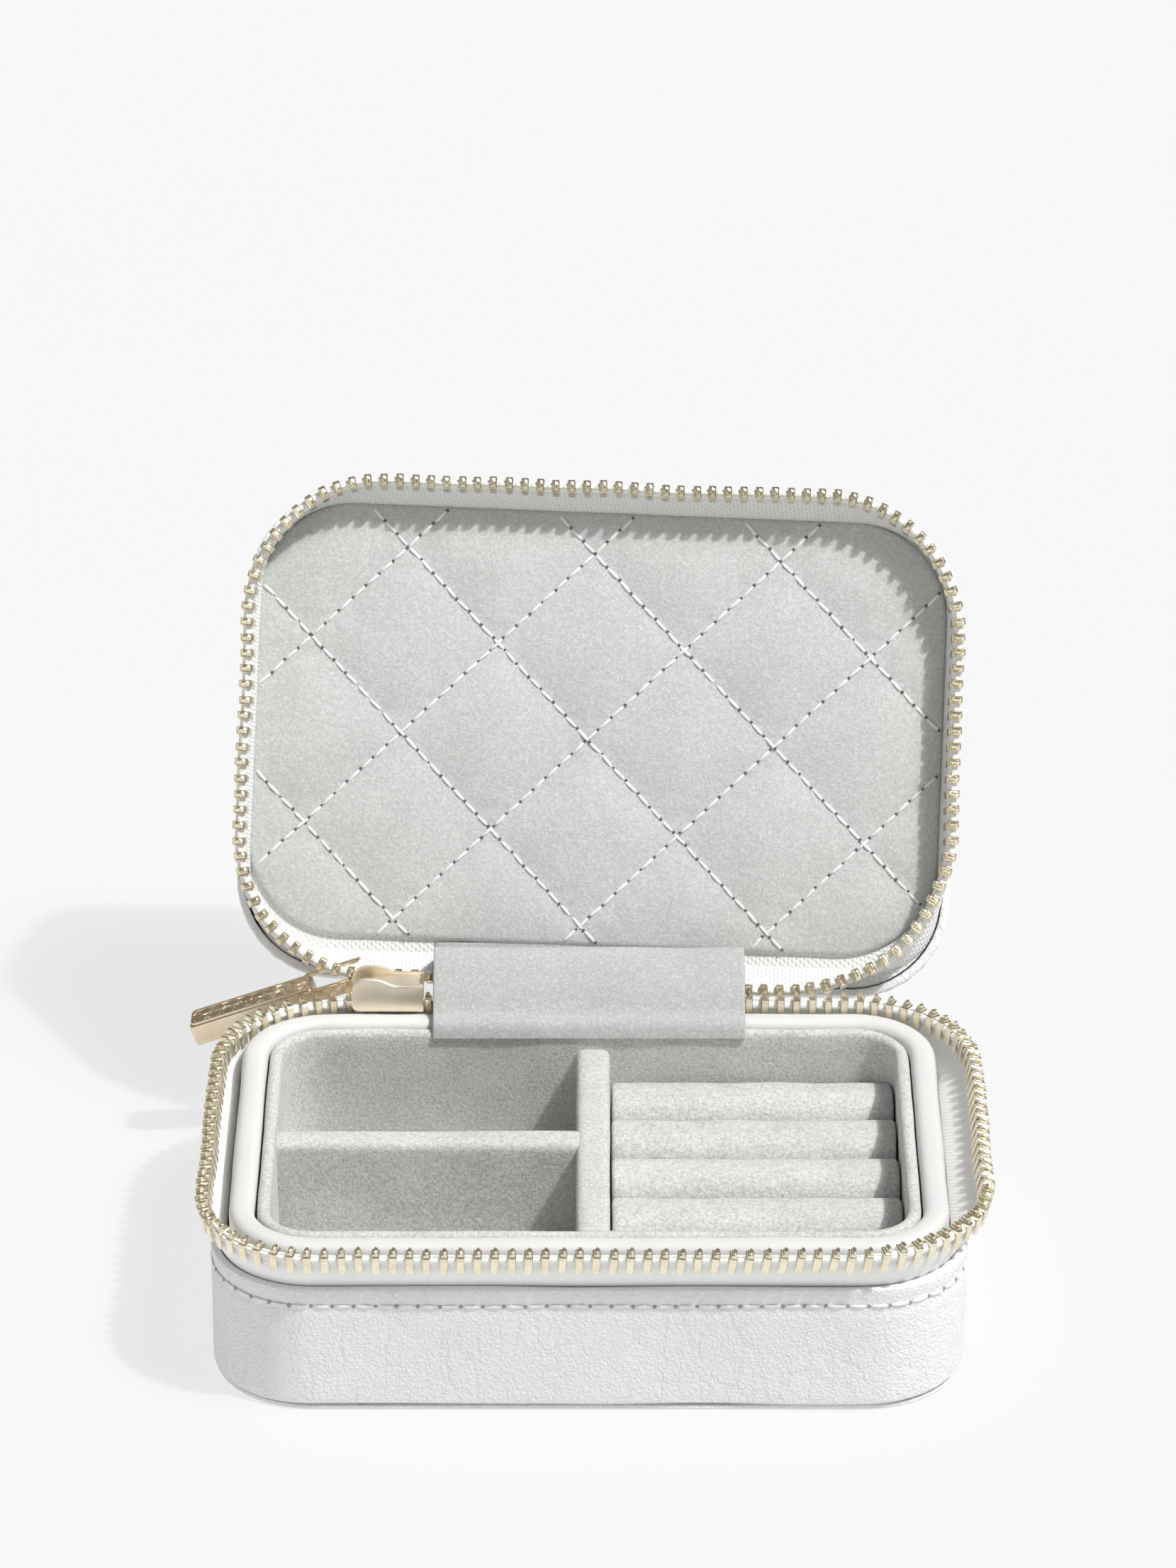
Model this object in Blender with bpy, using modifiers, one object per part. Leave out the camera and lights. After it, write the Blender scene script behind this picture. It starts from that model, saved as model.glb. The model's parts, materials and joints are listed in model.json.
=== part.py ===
"""A zip-around travel jewelry box, standing open.

Metres, +Z up, +Y to the back. The origin is on the floor at the centre of the base.
The lid and what rides on it are drawn in the closed place and turned open about the hinge.
"""

import math

import bmesh
import bpy
from mathutils import Matrix, Quaternion, Vector

mm = 0.001

# Driving dimensions
width = 110 * mm
depth = 75 * mm
corner_radius = 15 * mm
base_leather_top = 20.6 * mm
parting_height = 28.4 * mm
lid_leather_bottom = 36.2 * mm
closed_height = 50 * mm
gap = 0.3 * mm
least_radius = 3 * mm

# Outer skin, boards and rim, from the outside in
leather_thickness = 1.2 * mm
panel_thickness = 0.8 * mm
panel_inset = 0.3 * mm
board_thickness = 1.4 * mm
collar_thickness = 3.8 * mm
collar_lip_height = 5.7 * mm
collar_top = 26 * mm
collar_tuck = 0.2 * mm
velvet_thickness = 1.9 * mm
velvet_floor = 1.2 * mm
velvet_top = 25.5 * mm

# Compartments
divider_top = 22.5 * mm
divider_edge = 1.4 * mm
long_divider_thickness = 5 * mm
long_divider_x = 0.6 * mm
cross_divider_thickness = 4.8 * mm
cross_divider_y = 2.8 * mm
roll_count = 5
roll_top = 19 * mm
roll_core_top = 11 * mm

# Zip
tape_thickness = 0.7 * mm
tape_sewn_height = 5.5 * mm
tape_sewn_height_lid = 4.8 * mm
chain_width = 2.2 * mm
tooth_height = 3.95 * mm
tip_clearance = 0.15 * mm
zip_end = 22 * mm
base_side_flare = 3.75 * mm
base_front_flare = 2.4 * mm
rear_flare = 0.65 * mm
base_ring_radius = 22 * mm
base_ring_rear_radius = 18 * mm
lid_side_flare = 1.25 * mm
lid_front_flare = 3.0 * mm
lid_ring_radius = 20 * mm
tape_bend = 0.7
stop_length = 1.5 * mm
slider_room = 2.4 * mm

# Lid filling
pad_recess = 6.5 * mm
pad_thickness = 5.1 * mm
pad_side_inset = 2.5 * mm
pad_front_inset = 2.5 * mm
pad_rear_inset = 6.3 * mm
pad_radius = 15 * mm
pad_edge = 1.6 * mm
facing_recess = 0.8 * mm
backing_thickness = 1.2 * mm

# Hinge line of the lid; the lid stands a little askew when open
hinge_y = depth / 2 + 0.6 * mm
hinge_z = 27.95 * mm
open_angle = math.radians(120.6)
lid_skew = math.radians(2.3)
flap_width = 47.5 * mm
flap_thickness = 1.2 * mm
spine_thickness = 1.0 * mm
flap_overlap = 0.4 * mm
flap_slope = 0.3 * mm
flap_tuck = (1.2 * mm, 0.4 * mm)
flap_rise = (0.6 * mm, 1.3 * mm)
flap_crest = (3.2 * mm, 4.9 * mm)
spine_bends = ((0.4 * mm, 3.2 * mm), (3.6 * mm, 4.8 * mm))

# Slider and pull
slider_length = 11.6 * mm
slider_from_flap = 0.65 * mm
slider_x = -(flap_width / 2 + slider_from_flap + slider_length / 2)
slider_plate = 0.8 * mm
slider_height = 5.6 * mm
slider_clearance = 0.65 * mm
slider_edge = 0.3 * mm
wedge_left = 2 * mm
wedge_right = 4 * mm
wedge_drop = 0.8 * mm
post_radius = 0.8 * mm
post_from_end = 1.5 * mm
post_head = 0.8 * mm
post_head_radius = 1.6 * mm
eye_radius = 2.4 * mm
eye_thickness = 1.5 * mm
pull_length = 27 * mm
pull_neck = 8 * mm
pull_width = 5.0 * mm
pull_thickness = 3.9 * mm
pull_edge = 0.35 * mm
neck_height = 2 * mm
neck_thinning = 0.15 * mm
neck_root = 1.7 * mm
neck_overlap = 1 * mm
eye_clearance = 0.45 * mm
pull_droop = math.radians(19.6)

corner_steps = 8
straight_steps = 4


def clear_scene():
    for item in list(bpy.data.objects):
        bpy.data.objects.remove(item)


def make_collection(name):
    group = bpy.data.collections.new(name)
    bpy.context.scene.collection.children.link(group)
    return group


def make_material(name, colour, roughness, metallic=0.0):
    material = bpy.data.materials.new(name)
    material.use_nodes = True
    shader = material.node_tree.nodes["Principled BSDF"]
    shader.inputs["Base Color"].default_value = (*colour, 1)
    shader.inputs["Roughness"].default_value = roughness
    shader.inputs["Metallic"].default_value = metallic
    return material


def place_mesh(name, mesh, material=None, group=None):
    item = bpy.data.objects.new(name, mesh)
    (group or parts).objects.link(item)
    if material:
        mesh.materials.append(material)
    return item


def rounded_outline(half_width, front, rear, radius, rear_radius=None):
    """Corner by corner round a rectangle, starting at the rear right."""
    back = rear_radius or radius
    corners = [
        (half_width - back, rear - back, back, 90),
        (half_width - radius, front + radius, radius, 0),
        (radius - half_width, front + radius, radius, -90),
        (back - half_width, rear - back, back, -180),
    ]
    points = []
    for x, y, bend, start in corners:
        for step in range(corner_steps + 1):
            angle = math.radians(start - 90 * step / corner_steps)
            points.append((x + bend * math.cos(angle), y + bend * math.sin(angle)))
    return points


def inset_outline(inset):
    """The plan outline of the box, moved inwards by inset."""
    radius = max(corner_radius - inset, least_radius)
    return rounded_outline(width / 2 - inset, inset - depth / 2, depth / 2 - inset, radius)


def extrude_outlines(name, outlines, low, high, material=None, group=None):
    """A flat 2D curve filled between its outlines, thick from low to high."""
    curve = bpy.data.curves.new(name, "CURVE")
    curve.dimensions = "2D"
    curve.fill_mode = "BOTH"
    curve.extrude = (high - low) / 2
    for points in outlines:
        spline = curve.splines.new("POLY")
        spline.points.add(len(points) - 1)
        for knot, (x, y) in zip(spline.points, points):
            knot.co = (x, y, 0, 1)
        spline.use_cyclic_u = True
    holder = bpy.data.objects.new(name + "_curve", curve)
    bpy.context.scene.collection.objects.link(holder)
    graph = bpy.context.evaluated_depsgraph_get()
    mesh = bpy.data.meshes.new_from_object(holder.evaluated_get(graph))
    bpy.data.objects.remove(holder)
    bpy.data.curves.remove(curve)
    edit = bmesh.new()
    edit.from_mesh(mesh)
    bmesh.ops.remove_doubles(edit, verts=edit.verts, dist=0.001 * mm)
    bmesh.ops.translate(edit, vec=(0, 0, (high + low) / 2), verts=edit.verts)
    bmesh.ops.recalc_face_normals(edit, faces=edit.faces)
    edit.to_mesh(mesh)
    edit.free()
    mesh.name = name
    return place_mesh(name, mesh, material, group)


def make_box(name, low, high, material=None, group=None):
    mesh = bpy.data.meshes.new(name)
    edit = bmesh.new()
    bmesh.ops.create_cube(edit, size=1)
    size = Vector(high) - Vector(low)
    middle = (Vector(high) + Vector(low)) / 2
    bmesh.ops.scale(edit, vec=size, verts=edit.verts)
    bmesh.ops.translate(edit, vec=middle, verts=edit.verts)
    edit.to_mesh(mesh)
    edit.free()
    return place_mesh(name, mesh, material, group)


def make_rod(name, start, end, radius, material=None, group=None, sides=16):
    """A round bar between two points."""
    mesh = bpy.data.meshes.new(name)
    edit = bmesh.new()
    line = Vector(end) - Vector(start)
    turn = line.to_track_quat("Z", "Y").to_matrix().to_4x4()
    spot = Matrix.Translation((Vector(start) + Vector(end)) / 2)
    bmesh.ops.create_cone(
        edit, cap_ends=True, segments=sides, radius1=radius, radius2=radius, depth=line.length,
        matrix=spot @ turn,
    )
    edit.to_mesh(mesh)
    edit.free()
    return place_mesh(name, mesh, material, group)


def combine(item, other, operation):
    """Joins another shape to item, or cuts it away, and hides the other as a cutter."""
    if other.name not in cutters.objects:
        parts.objects.unlink(other)
        cutters.objects.link(other)
    other.hide_render = True
    other.display_type = "WIRE"
    step = item.modifiers.new(operation.title(), "BOOLEAN")
    step.operation = operation
    step.solver = "EXACT"
    step.object = other


def round_edges(item, size, segments=2, angle=40):
    bevel = item.modifiers.new("Rounded", "BEVEL")
    bevel.width = size
    bevel.segments = segments
    bevel.limit_method = "ANGLE"
    bevel.angle_limit = math.radians(angle)


def loft(name, sections, material):
    """A solid through sections of equal point counts, each a closed loop, capped at both ends."""
    count = len(sections[0])
    vertices = [point for section in sections for point in section]
    faces = []
    for row in range(len(sections) - 1):
        for column in range(count):
            after = (column + 1) % count
            low, high = row * count, (row + 1) * count
            faces.append((low + column, low + after, high + after, high + column))
    faces.append(tuple(reversed(range(count))))
    faces.append(tuple(range((len(sections) - 1) * count, len(sections) * count)))
    mesh = bpy.data.meshes.new(name)
    mesh.from_pydata(vertices, [], faces)
    edit = bmesh.new()
    edit.from_mesh(mesh)
    bmesh.ops.recalc_face_normals(edit, faces=edit.faces)
    edit.to_mesh(mesh)
    edit.free()
    return place_mesh(name, mesh, material)


def between(start, end, share):
    return tuple(a + (b - a) * share for a, b in zip(start, end))


def zip_path(outline, left_end, right_end):
    """Plan points with their outward directions, from the right end round the front to the left end."""
    rear = outline[0][1]
    last_corner = 3 * (corner_steps + 1)
    kept = [point for index, point in enumerate(outline) if index < last_corner or point[0] < left_end]
    loop = [(right_end, rear)]
    for index, point in enumerate(kept):
        before = loop[-1]
        if index % (corner_steps + 1) == 0:
            loop += [between(before, point, step / straight_steps) for step in range(1, straight_steps)]
        loop.append(point)
    before = loop[-1]
    if len(kept) == len(outline):
        end = (left_end, rear)
    else:
        after = outline[len(kept)]
        end = between(before, after, (left_end - before[0]) / (after[0] - before[0]))
    loop += [between(before, end, step / straight_steps) for step in range(1, straight_steps + 1)]
    points = []
    for index, (x, y) in enumerate(loop):
        ahead = Vector(loop[min(index + 1, len(loop) - 1)]) - Vector(loop[max(index - 1, 0)])
        points.append(((x, y), (-ahead.y / ahead.length, ahead.x / ahead.length)))
    return points


def zip_strip(name, rows, thickness, material):
    """A thick strip standing on its edge; each row is a zip_path with its height."""
    sections = []
    for index in range(len(rows[0][0])):
        outer, inner = [], []
        for path, height in rows:
            (x, y), (out_x, out_y) = path[index]
            reach = thickness / 2
            outer.append((x + out_x * reach, y + out_y * reach, height))
            inner.append((x - out_x * reach, y - out_y * reach, height))
        sections.append(outer + list(reversed(inner)))
    return loft(name, sections, material)


# Places worked out from the driving dimensions
tape_inset = leather_thickness + gap
tape_middle = tape_inset + tape_thickness / 2
board_inset = tape_inset + tape_thickness + gap
collar_lip_inset = board_inset + collar_tuck
collar_skirt_inset = board_inset + board_thickness + gap
velvet_inset = collar_lip_inset + collar_thickness + gap
cavity_inset = velvet_inset + velvet_thickness
board_low = panel_thickness + gap
board_top = collar_top - collar_lip_height - gap
tray_low = board_low + board_thickness + gap
floor_top = tray_low + velvet_floor
ring_rear = depth / 2 - tape_middle + rear_flare
tip_low = parting_height - tip_clearance
tip_high = parting_height + tip_clearance
cavity_left = cavity_inset - width / 2
cavity_rear = depth / 2 - cavity_inset


def ring_between(name, outer, inner, low, high, material=None, group=None):
    return extrude_outlines(name, [inset_outline(outer), inset_outline(inner)], low, high, material, group)


def base_path(share, left_end=-zip_end, right_end=zip_end):
    """The zip's line on the base, from the leather (share 0) out to the flared teeth (share 1)."""
    half_width = width / 2 - tape_middle + base_side_flare * share
    front = tape_middle - depth / 2 - base_front_flare * share
    start = corner_radius - tape_middle
    radius = start + (base_ring_radius - start) * share
    rear_radius = start + (base_ring_rear_radius - start) * share
    rear = ring_rear - rear_flare * (1 - share)
    return zip_path(rounded_outline(half_width, front, rear, radius, rear_radius), left_end, right_end)


def lid_path(share, left_end=-zip_end, right_end=zip_end):
    half_width = width / 2 - tape_middle + lid_side_flare * share
    front = tape_middle - depth / 2 - lid_front_flare * share
    start = corner_radius - tape_middle
    radius = start + (lid_ring_radius - start) * share
    rear = ring_rear - rear_flare * (1 - share)
    return zip_path(rounded_outline(half_width, front, rear, radius), left_end, right_end)


def make_base_shell():
    extrude_outlines("bottom_panel", [inset_outline(panel_inset)], 0, panel_thickness, leather)
    ring_between("base_wall_wrap", 0, leather_thickness, board_low, base_leather_top, leather)
    board = ring_between(
        "base_frame_board", board_inset, board_inset + board_thickness, board_low, board_top, greyboard
    )
    floor = extrude_outlines(
        "base_board_floor", [inset_outline(board_inset + board_thickness / 2)],
        board_low, board_low + board_thickness, None, cutters,
    )
    combine(board, floor, "UNION")


def make_inner_tray():
    lip_low = collar_top - collar_lip_height
    inner = collar_lip_inset + collar_thickness
    collar = ring_between("inner_collar", collar_lip_inset, inner, lip_low, collar_top, rim_leather)
    skirt = ring_between("collar_skirt", collar_skirt_inset, inner, tray_low, lip_low + gap, None, cutters)
    combine(collar, skirt, "UNION")
    liner = extrude_outlines("velvet_liner", [inset_outline(velvet_inset)], tray_low, velvet_top, velvet)
    hollow = extrude_outlines(
        "liner_hollow", [inset_outline(cavity_inset)], floor_top, velvet_top + velvet_floor, None, cutters
    )
    combine(liner, hollow, "DIFFERENCE")


def make_dividers():
    half = long_divider_thickness / 2
    low, reach = floor_top + gap, cavity_rear - gap
    long_divider = make_box(
        "long_divider",
        (long_divider_x - half, -reach, low), (long_divider_x + half, reach, divider_top), velvet
    )
    round_edges(long_divider, divider_edge)
    half = cross_divider_thickness / 2
    cross_divider = make_box(
        "cross_divider",
        (cavity_left + gap, cross_divider_y - half, low),
        (long_divider_x - long_divider_thickness / 2 - gap, cross_divider_y + half, divider_top),
        velvet,
    )
    round_edges(cross_divider, divider_edge)


def make_ring_rolls():
    """A foam block with rows of velvet rolls on it, which hold rings in the grooves between them."""
    left = long_divider_x + long_divider_thickness / 2 + gap
    right = -cavity_left - gap
    reach = cavity_rear - gap
    room = extrude_outlines(
        "cavity_room", [inset_outline(cavity_inset + gap)], 0, velvet_top, None, cutters
    )
    block = make_box("ring_roll_core", (left, -reach, floor_top + gap), (right, reach, roll_core_top), foam)
    combine(block, room, "INTERSECT")
    pitch = 2 * reach / roll_count
    radius = (pitch - gap) / 2
    for index in range(roll_count):
        roll = make_rod(f"ring_roll_{index + 1}", (left, 0, 0), (right, 0, 0), radius, velvet, sides=20)
        rise = (roll_top - roll_core_top - gap) / radius
        for vertex in roll.data.vertices:
            vertex.co.z = max(vertex.co.z, 0) * rise
        tidy_bottom(roll)
        roll.location = (0, -reach + pitch * (index + 0.5), roll_core_top + gap)
        if index in (0, roll_count - 1):
            combine(roll, room, "INTERSECT")


def tidy_bottom(item):
    """Merges the lower half of a flattened rod into one plane."""
    edit = bmesh.new()
    edit.from_mesh(item.data)
    bmesh.ops.remove_doubles(edit, verts=edit.verts, dist=0.01 * mm)
    bmesh.ops.dissolve_limit(
        edit, angle_limit=math.radians(1), verts=edit.verts, edges=edit.edges
    )
    bmesh.ops.recalc_face_normals(edit, faces=edit.faces)
    edit.to_mesh(item.data)
    edit.free()


def make_base_zip():
    tape_top = tip_low - tooth_height - gap
    rows = [
        (base_path(0), base_leather_top - tape_sewn_height),
        (base_path(0), base_leather_top + gap),
        (base_path(tape_bend), (base_leather_top + tape_top) / 2),
        (base_path(1), tape_top),
    ]
    zip_strip("zip_tape_base", rows, tape_thickness, tape)
    chain = [(base_path(1), tip_low - tooth_height), (base_path(1), tip_low)]
    zip_strip("zip_teeth_base", chain, chain_width, gold)


def make_lid_zip():
    """Drawn in the closed place. Teeth are left out where the slider stands."""
    slider_left = slider_x - slider_length / 2 - slider_room
    tape_low = tip_high + tooth_height + gap
    rows = [
        (lid_path(1), tape_low),
        (lid_path(0), lid_leather_bottom - gap),
        (lid_path(0), lid_leather_bottom + tape_sewn_height_lid),
    ]
    lid_piece(zip_strip("zip_tape_lid", rows, tape_thickness, tape))
    chain = [
        (lid_path(1, slider_left), tip_high),
        (lid_path(1, slider_left), tip_high + tooth_height),
    ]
    lid_piece(zip_strip("zip_teeth_lid", chain, chain_width, gold))


def make_stops():
    """Small crimps that close the ends of both chains."""
    half = chain_width / 2
    low, high = tip_low - tooth_height, tip_high + tooth_height
    for side, name in ((-1, "bottom_stop"), (1, "top_stop_base")):
        near, far = side * (zip_end - gap), side * (zip_end - gap - stop_length)
        make_box(
            name, (min(near, far), ring_rear - half, low), (max(near, far), ring_rear + half, tip_low), gold
        )
    lid_piece(
        make_box(
            "top_stop_lid",
            (zip_end - gap - stop_length, ring_rear - half, tip_high),
            (zip_end - gap, ring_rear + half, high),
            gold,
        )
    )


def make_lid_hinge():
    """An empty on the hinge line, turned open. The line tilts a little, so the open lid stands askew."""
    turn = Matrix.Rotation(-open_angle, 2)
    lean = Vector((-math.cos(open_angle), math.sin(open_angle))) * -math.tan(lid_skew)
    tilt = (Matrix.Identity(2) - turn).inverted() @ lean
    axis = Vector((1, tilt.x, tilt.y)).normalized()
    empty = bpy.data.objects.new("lid_hinge", None)
    parts.objects.link(empty)
    empty.location = (0, hinge_y, hinge_z)
    empty.rotation_mode = "QUATERNION"
    empty.rotation_quaternion = Quaternion(axis, -open_angle)
    return empty


def lid_piece(item):
    """Hangs a piece, drawn in the closed place, on the lid's hinge."""
    item.parent = lid_hinge
    item.location = item.location - lid_hinge.location
    return item


def pad_outline(margin=0.0):
    return rounded_outline(
        width / 2 - pad_side_inset - margin,
        pad_front_inset + margin - depth / 2,
        depth / 2 - pad_rear_inset - margin,
        pad_radius,
    )


def make_lid_shell():
    wall_top = closed_height - panel_thickness - gap
    plate_low = wall_top - board_thickness
    board_edge = parting_height + pad_recess + pad_thickness + gap
    lid_piece(
        extrude_outlines(
            "lid_top_panel", [inset_outline(panel_inset)],
            closed_height - panel_thickness, closed_height, leather,
        )
    )
    lid_piece(ring_between("lid_wall_wrap", 0, leather_thickness, lid_leather_bottom, wall_top, leather))
    board = ring_between(
        "lid_frame_board", board_inset, board_inset + board_thickness, board_edge, wall_top, greyboard
    )
    plate = extrude_outlines(
        "lid_board_plate", [inset_outline(board_inset + board_thickness / 2)],
        plate_low, wall_top, None, cutters,
    )
    combine(board, plate, "UNION")
    lid_piece(board)
    lid_piece(plate)
    core_inset = board_inset + board_thickness + gap
    backing_top = board_edge + backing_thickness
    lid_piece(
        extrude_outlines("pad_backing_board", [inset_outline(core_inset)], board_edge, backing_top, greyboard)
    )
    lid_piece(
        extrude_outlines(
            "lid_foam_core", [inset_outline(core_inset)], backing_top + gap, plate_low - gap, foam
        )
    )


def make_lid_lining():
    low = parting_height + pad_recess
    pad = extrude_outlines("quilted_pad", [pad_outline()], low, low + pad_thickness, velvet)
    round_edges(pad, pad_edge)
    lid_piece(pad)
    facing_half = width / 2 - corner_radius
    lid_piece(
        make_box(
            "lid_rear_facing",
            (-facing_half, depth / 2 - pad_rear_inset + gap, low + facing_recess),
            (facing_half, depth / 2 - tape_inset - tape_thickness - 2 * gap, low + pad_thickness),
            rim_leather,
        )
    )


def bent_strip(name, centre_line, strip_width, thickness, material):
    """A strip of even thickness along a line in the Y-Z plane, as wide as asked along X."""
    profile = []
    for side in (1, -1):
        edge = []
        for index, (y, z) in enumerate(centre_line):
            ahead = Vector(centre_line[min(index + 1, len(centre_line) - 1)])
            behind = Vector(centre_line[max(index - 1, 0)])
            along = (ahead - behind).normalized()
            edge.append((y - side * along.y * thickness / 2, z + side * along.x * thickness / 2))
        profile += edge if side == 1 else list(reversed(edge))
    sections = [[(x, y, z) for y, z in profile] for x in (-strip_width / 2, strip_width / 2)]
    return loft(name, sections, material)


def smooth_line(points, steps=4):
    """A Catmull-Rom line through points."""
    line = []
    for index in range(len(points) - 1):
        before = Vector(points[max(index - 1, 0)])
        start, end = Vector(points[index]), Vector(points[index + 1])
        after = Vector(points[min(index + 2, len(points) - 1)])
        for step in range(steps):
            t = step / steps
            line.append(
                tuple(
                    0.5 * (
                        2 * start + (end - before) * t
                        + (2 * before - 5 * start + 4 * end - after) * t * t
                        + (3 * start - before - 3 * end + after) * t ** 3
                    )
                )
            )
    return line + [tuple(points[-1])]


def opened(y, z):
    """Where a point of the closed lid stands in the Y-Z plane once the lid is open, its skew left out."""
    y, z = y - hinge_y, z - hinge_z
    cos, sin = math.cos(open_angle), math.sin(open_angle)
    return hinge_y + y * cos + z * sin, hinge_z - y * sin + z * cos


def make_soft_hinge():
    """The velvet flap inside and the leather spine outside, both bent as the open lid leaves them."""
    clear = flap_thickness / 2 + gap
    start = (cavity_rear - flap_overlap, collar_top + clear)
    over_rim = (depth / 2 - board_inset - collar_thickness, collar_top + clear + flap_slope)
    rise = (ring_rear - flap_rise[0], tip_low + clear + flap_rise[1])
    crest = (hinge_y + flap_crest[0], hinge_z + flap_crest[1])
    tucked = opened(
        depth / 2 - pad_rear_inset - flap_tuck[0], parting_height + pad_recess - clear - flap_tuck[1]
    )
    line = smooth_line([start, over_rim, rise, crest, tucked])
    bent_strip("hinge_flap", line, flap_width, flap_thickness, velvet)
    middle = depth / 2 - leather_thickness / 2
    foot = (middle, base_leather_top + gap)
    bends = [(middle + out, foot[1] + up) for out, up in spine_bends]
    line = smooth_line([foot, *bends, opened(middle, lid_leather_bottom - gap)])
    spine_width = 2 * (zip_end - stop_length - 2 * gap)
    bent_strip("spine_strip", line, spine_width, spine_thickness, leather)


def make_slider():
    """Two plates joined by a wedge above the chain, and a post on the outer plate that holds the pull."""
    left, right = slider_x - slider_length / 2, slider_x + slider_length / 2
    low = collar_top + gap
    high = low + slider_height
    inner_face = ring_rear - chain_width / 2 - slider_clearance
    outer_face = ring_rear + chain_width / 2 + gap
    slider = make_box("slider_body", (left, inner_face - slider_plate, low), (right, inner_face, high), gold)
    round_edges(slider, slider_edge, 1)
    outer = make_box(
        "slider_outer_plate", (left, outer_face, low), (right, outer_face + slider_plate, high), None, cutters
    )
    wedge = make_box(
        "slider_wedge",
        (slider_x - wedge_left, inner_face - slider_plate / 2, tip_low + gap),
        (slider_x + wedge_right, outer_face + slider_plate / 2, high - wedge_drop),
        None, cutters,
    )
    post_x, post_z = left + post_from_end, tip_low + gap
    post_end = outer_face + slider_plate + eye_thickness + 2 * gap
    post = make_rod(
        "pull_post", (post_x, outer_face + slider_plate / 2, post_z), (post_x, post_end + gap, post_z),
        post_radius, None, cutters,
    )
    head = make_rod(
        "pull_post_head", (post_x, post_end, post_z), (post_x, post_end + post_head, post_z),
        post_head_radius, None, cutters,
    )
    for piece in (outer, wedge, post, head):
        combine(slider, piece, "UNION")
    move = bpy.data.objects.new("slider_slide", None)
    parts.objects.link(move)
    move.location = (slider_x, ring_rear, tip_low)
    for piece in (slider, outer, wedge, post, head):
        piece.parent = move
        piece.location = -move.location
    return Vector((post_x, outer_face + slider_plate + gap, post_z))


def make_pull(pivot):
    """A flat bar with an eye round the slider's post; it hangs down a little from the post."""
    hinge = bpy.data.objects.new("pull_hinge", None)
    parts.objects.link(hinge)
    hinge.location = pivot
    hinge.rotation_euler = (0, -pull_droop, 0)
    half = pull_thickness / 2
    bar = make_box("pull_tab", (-pull_length, 0, -half), (-pull_neck, pull_width, half), gold)
    round_edges(bar, pull_edge, 1)
    neck = make_box(
        "pull_neck_bar",
        (-pull_neck - neck_overlap, neck_thinning, -neck_height / 2),
        (-neck_root, eye_thickness - neck_thinning, neck_height / 2),
        None, cutters,
    )
    eye = make_rod("pull_eye", (0, 0, 0), (0, eye_thickness, 0), eye_radius, None, cutters, 20)
    hole = make_rod(
        "pull_eye_hole", (0, -eye_thickness, 0), (0, 2 * eye_thickness, 0),
        post_radius + eye_clearance, None, cutters,
    )
    combine(bar, neck, "UNION")
    combine(bar, eye, "UNION")
    combine(bar, hole, "DIFFERENCE")
    for piece in (bar, neck, eye, hole):
        piece.parent = hinge


clear_scene()
parts = make_collection("jewelry_box")
cutters = make_collection("cutters")
leather = make_material("white_pebbled_leatherette", (0.87, 0.87, 0.87), 0.5)
rim_leather = make_material("white_smooth_leatherette", (0.88, 0.87, 0.86), 0.45)
velvet = make_material("grey_velvet", (0.6, 0.62, 0.61), 0.95)
greyboard = make_material("greyboard", (0.45, 0.44, 0.42), 0.9)
foam = make_material("white_foam", (0.8, 0.8, 0.78), 0.95)
tape = make_material("white_woven_tape", (0.88, 0.88, 0.87), 0.8)
gold = make_material("pale_gold_metal", (0.83, 0.7, 0.47), 0.25, 1.0)

lid_hinge = make_lid_hinge()
make_base_shell()
make_inner_tray()
make_dividers()
make_ring_rolls()
make_base_zip()
make_lid_shell()
make_lid_lining()
make_lid_zip()
make_stops()
make_soft_hinge()
make_pull(make_slider())
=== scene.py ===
import json
import math

import bmesh
import bpy
import numpy as np
from mathutils import Matrix, Vector, geometry, noise


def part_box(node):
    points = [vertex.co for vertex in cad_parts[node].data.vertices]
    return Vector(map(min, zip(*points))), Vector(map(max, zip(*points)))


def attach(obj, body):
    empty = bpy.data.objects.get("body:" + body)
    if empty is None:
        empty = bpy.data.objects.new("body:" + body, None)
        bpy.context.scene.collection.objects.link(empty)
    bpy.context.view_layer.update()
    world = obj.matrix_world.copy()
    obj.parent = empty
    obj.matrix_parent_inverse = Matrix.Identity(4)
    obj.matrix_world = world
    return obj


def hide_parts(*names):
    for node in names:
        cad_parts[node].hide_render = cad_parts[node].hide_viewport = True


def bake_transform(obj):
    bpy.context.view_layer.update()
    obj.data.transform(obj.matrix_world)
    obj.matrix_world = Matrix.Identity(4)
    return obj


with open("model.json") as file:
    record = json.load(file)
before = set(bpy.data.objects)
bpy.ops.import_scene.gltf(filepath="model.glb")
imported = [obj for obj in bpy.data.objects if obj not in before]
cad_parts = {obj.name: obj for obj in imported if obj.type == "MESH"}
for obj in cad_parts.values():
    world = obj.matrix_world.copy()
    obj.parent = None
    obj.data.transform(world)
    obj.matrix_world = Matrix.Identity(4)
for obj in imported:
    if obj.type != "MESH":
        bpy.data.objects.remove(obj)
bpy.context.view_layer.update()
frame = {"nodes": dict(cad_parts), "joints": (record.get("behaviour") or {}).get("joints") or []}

mm = 0.001
nodes = frame["nodes"]
joints = {joint["name"]: joint for joint in frame["joints"]}

# The lid is built shut and then turned open about its hinge
hinge = joints["lid_hinge"]
pivot = Vector(hinge["pos_m"])
openAngle = math.radians(-hinge["range_deg"][0])
turned = Matrix.Rotation(openAngle, 4, Vector(hinge["axis"]))
lidOpen = Matrix.Translation(pivot) @ turned @ Matrix.Translation(-pivot)


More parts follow.
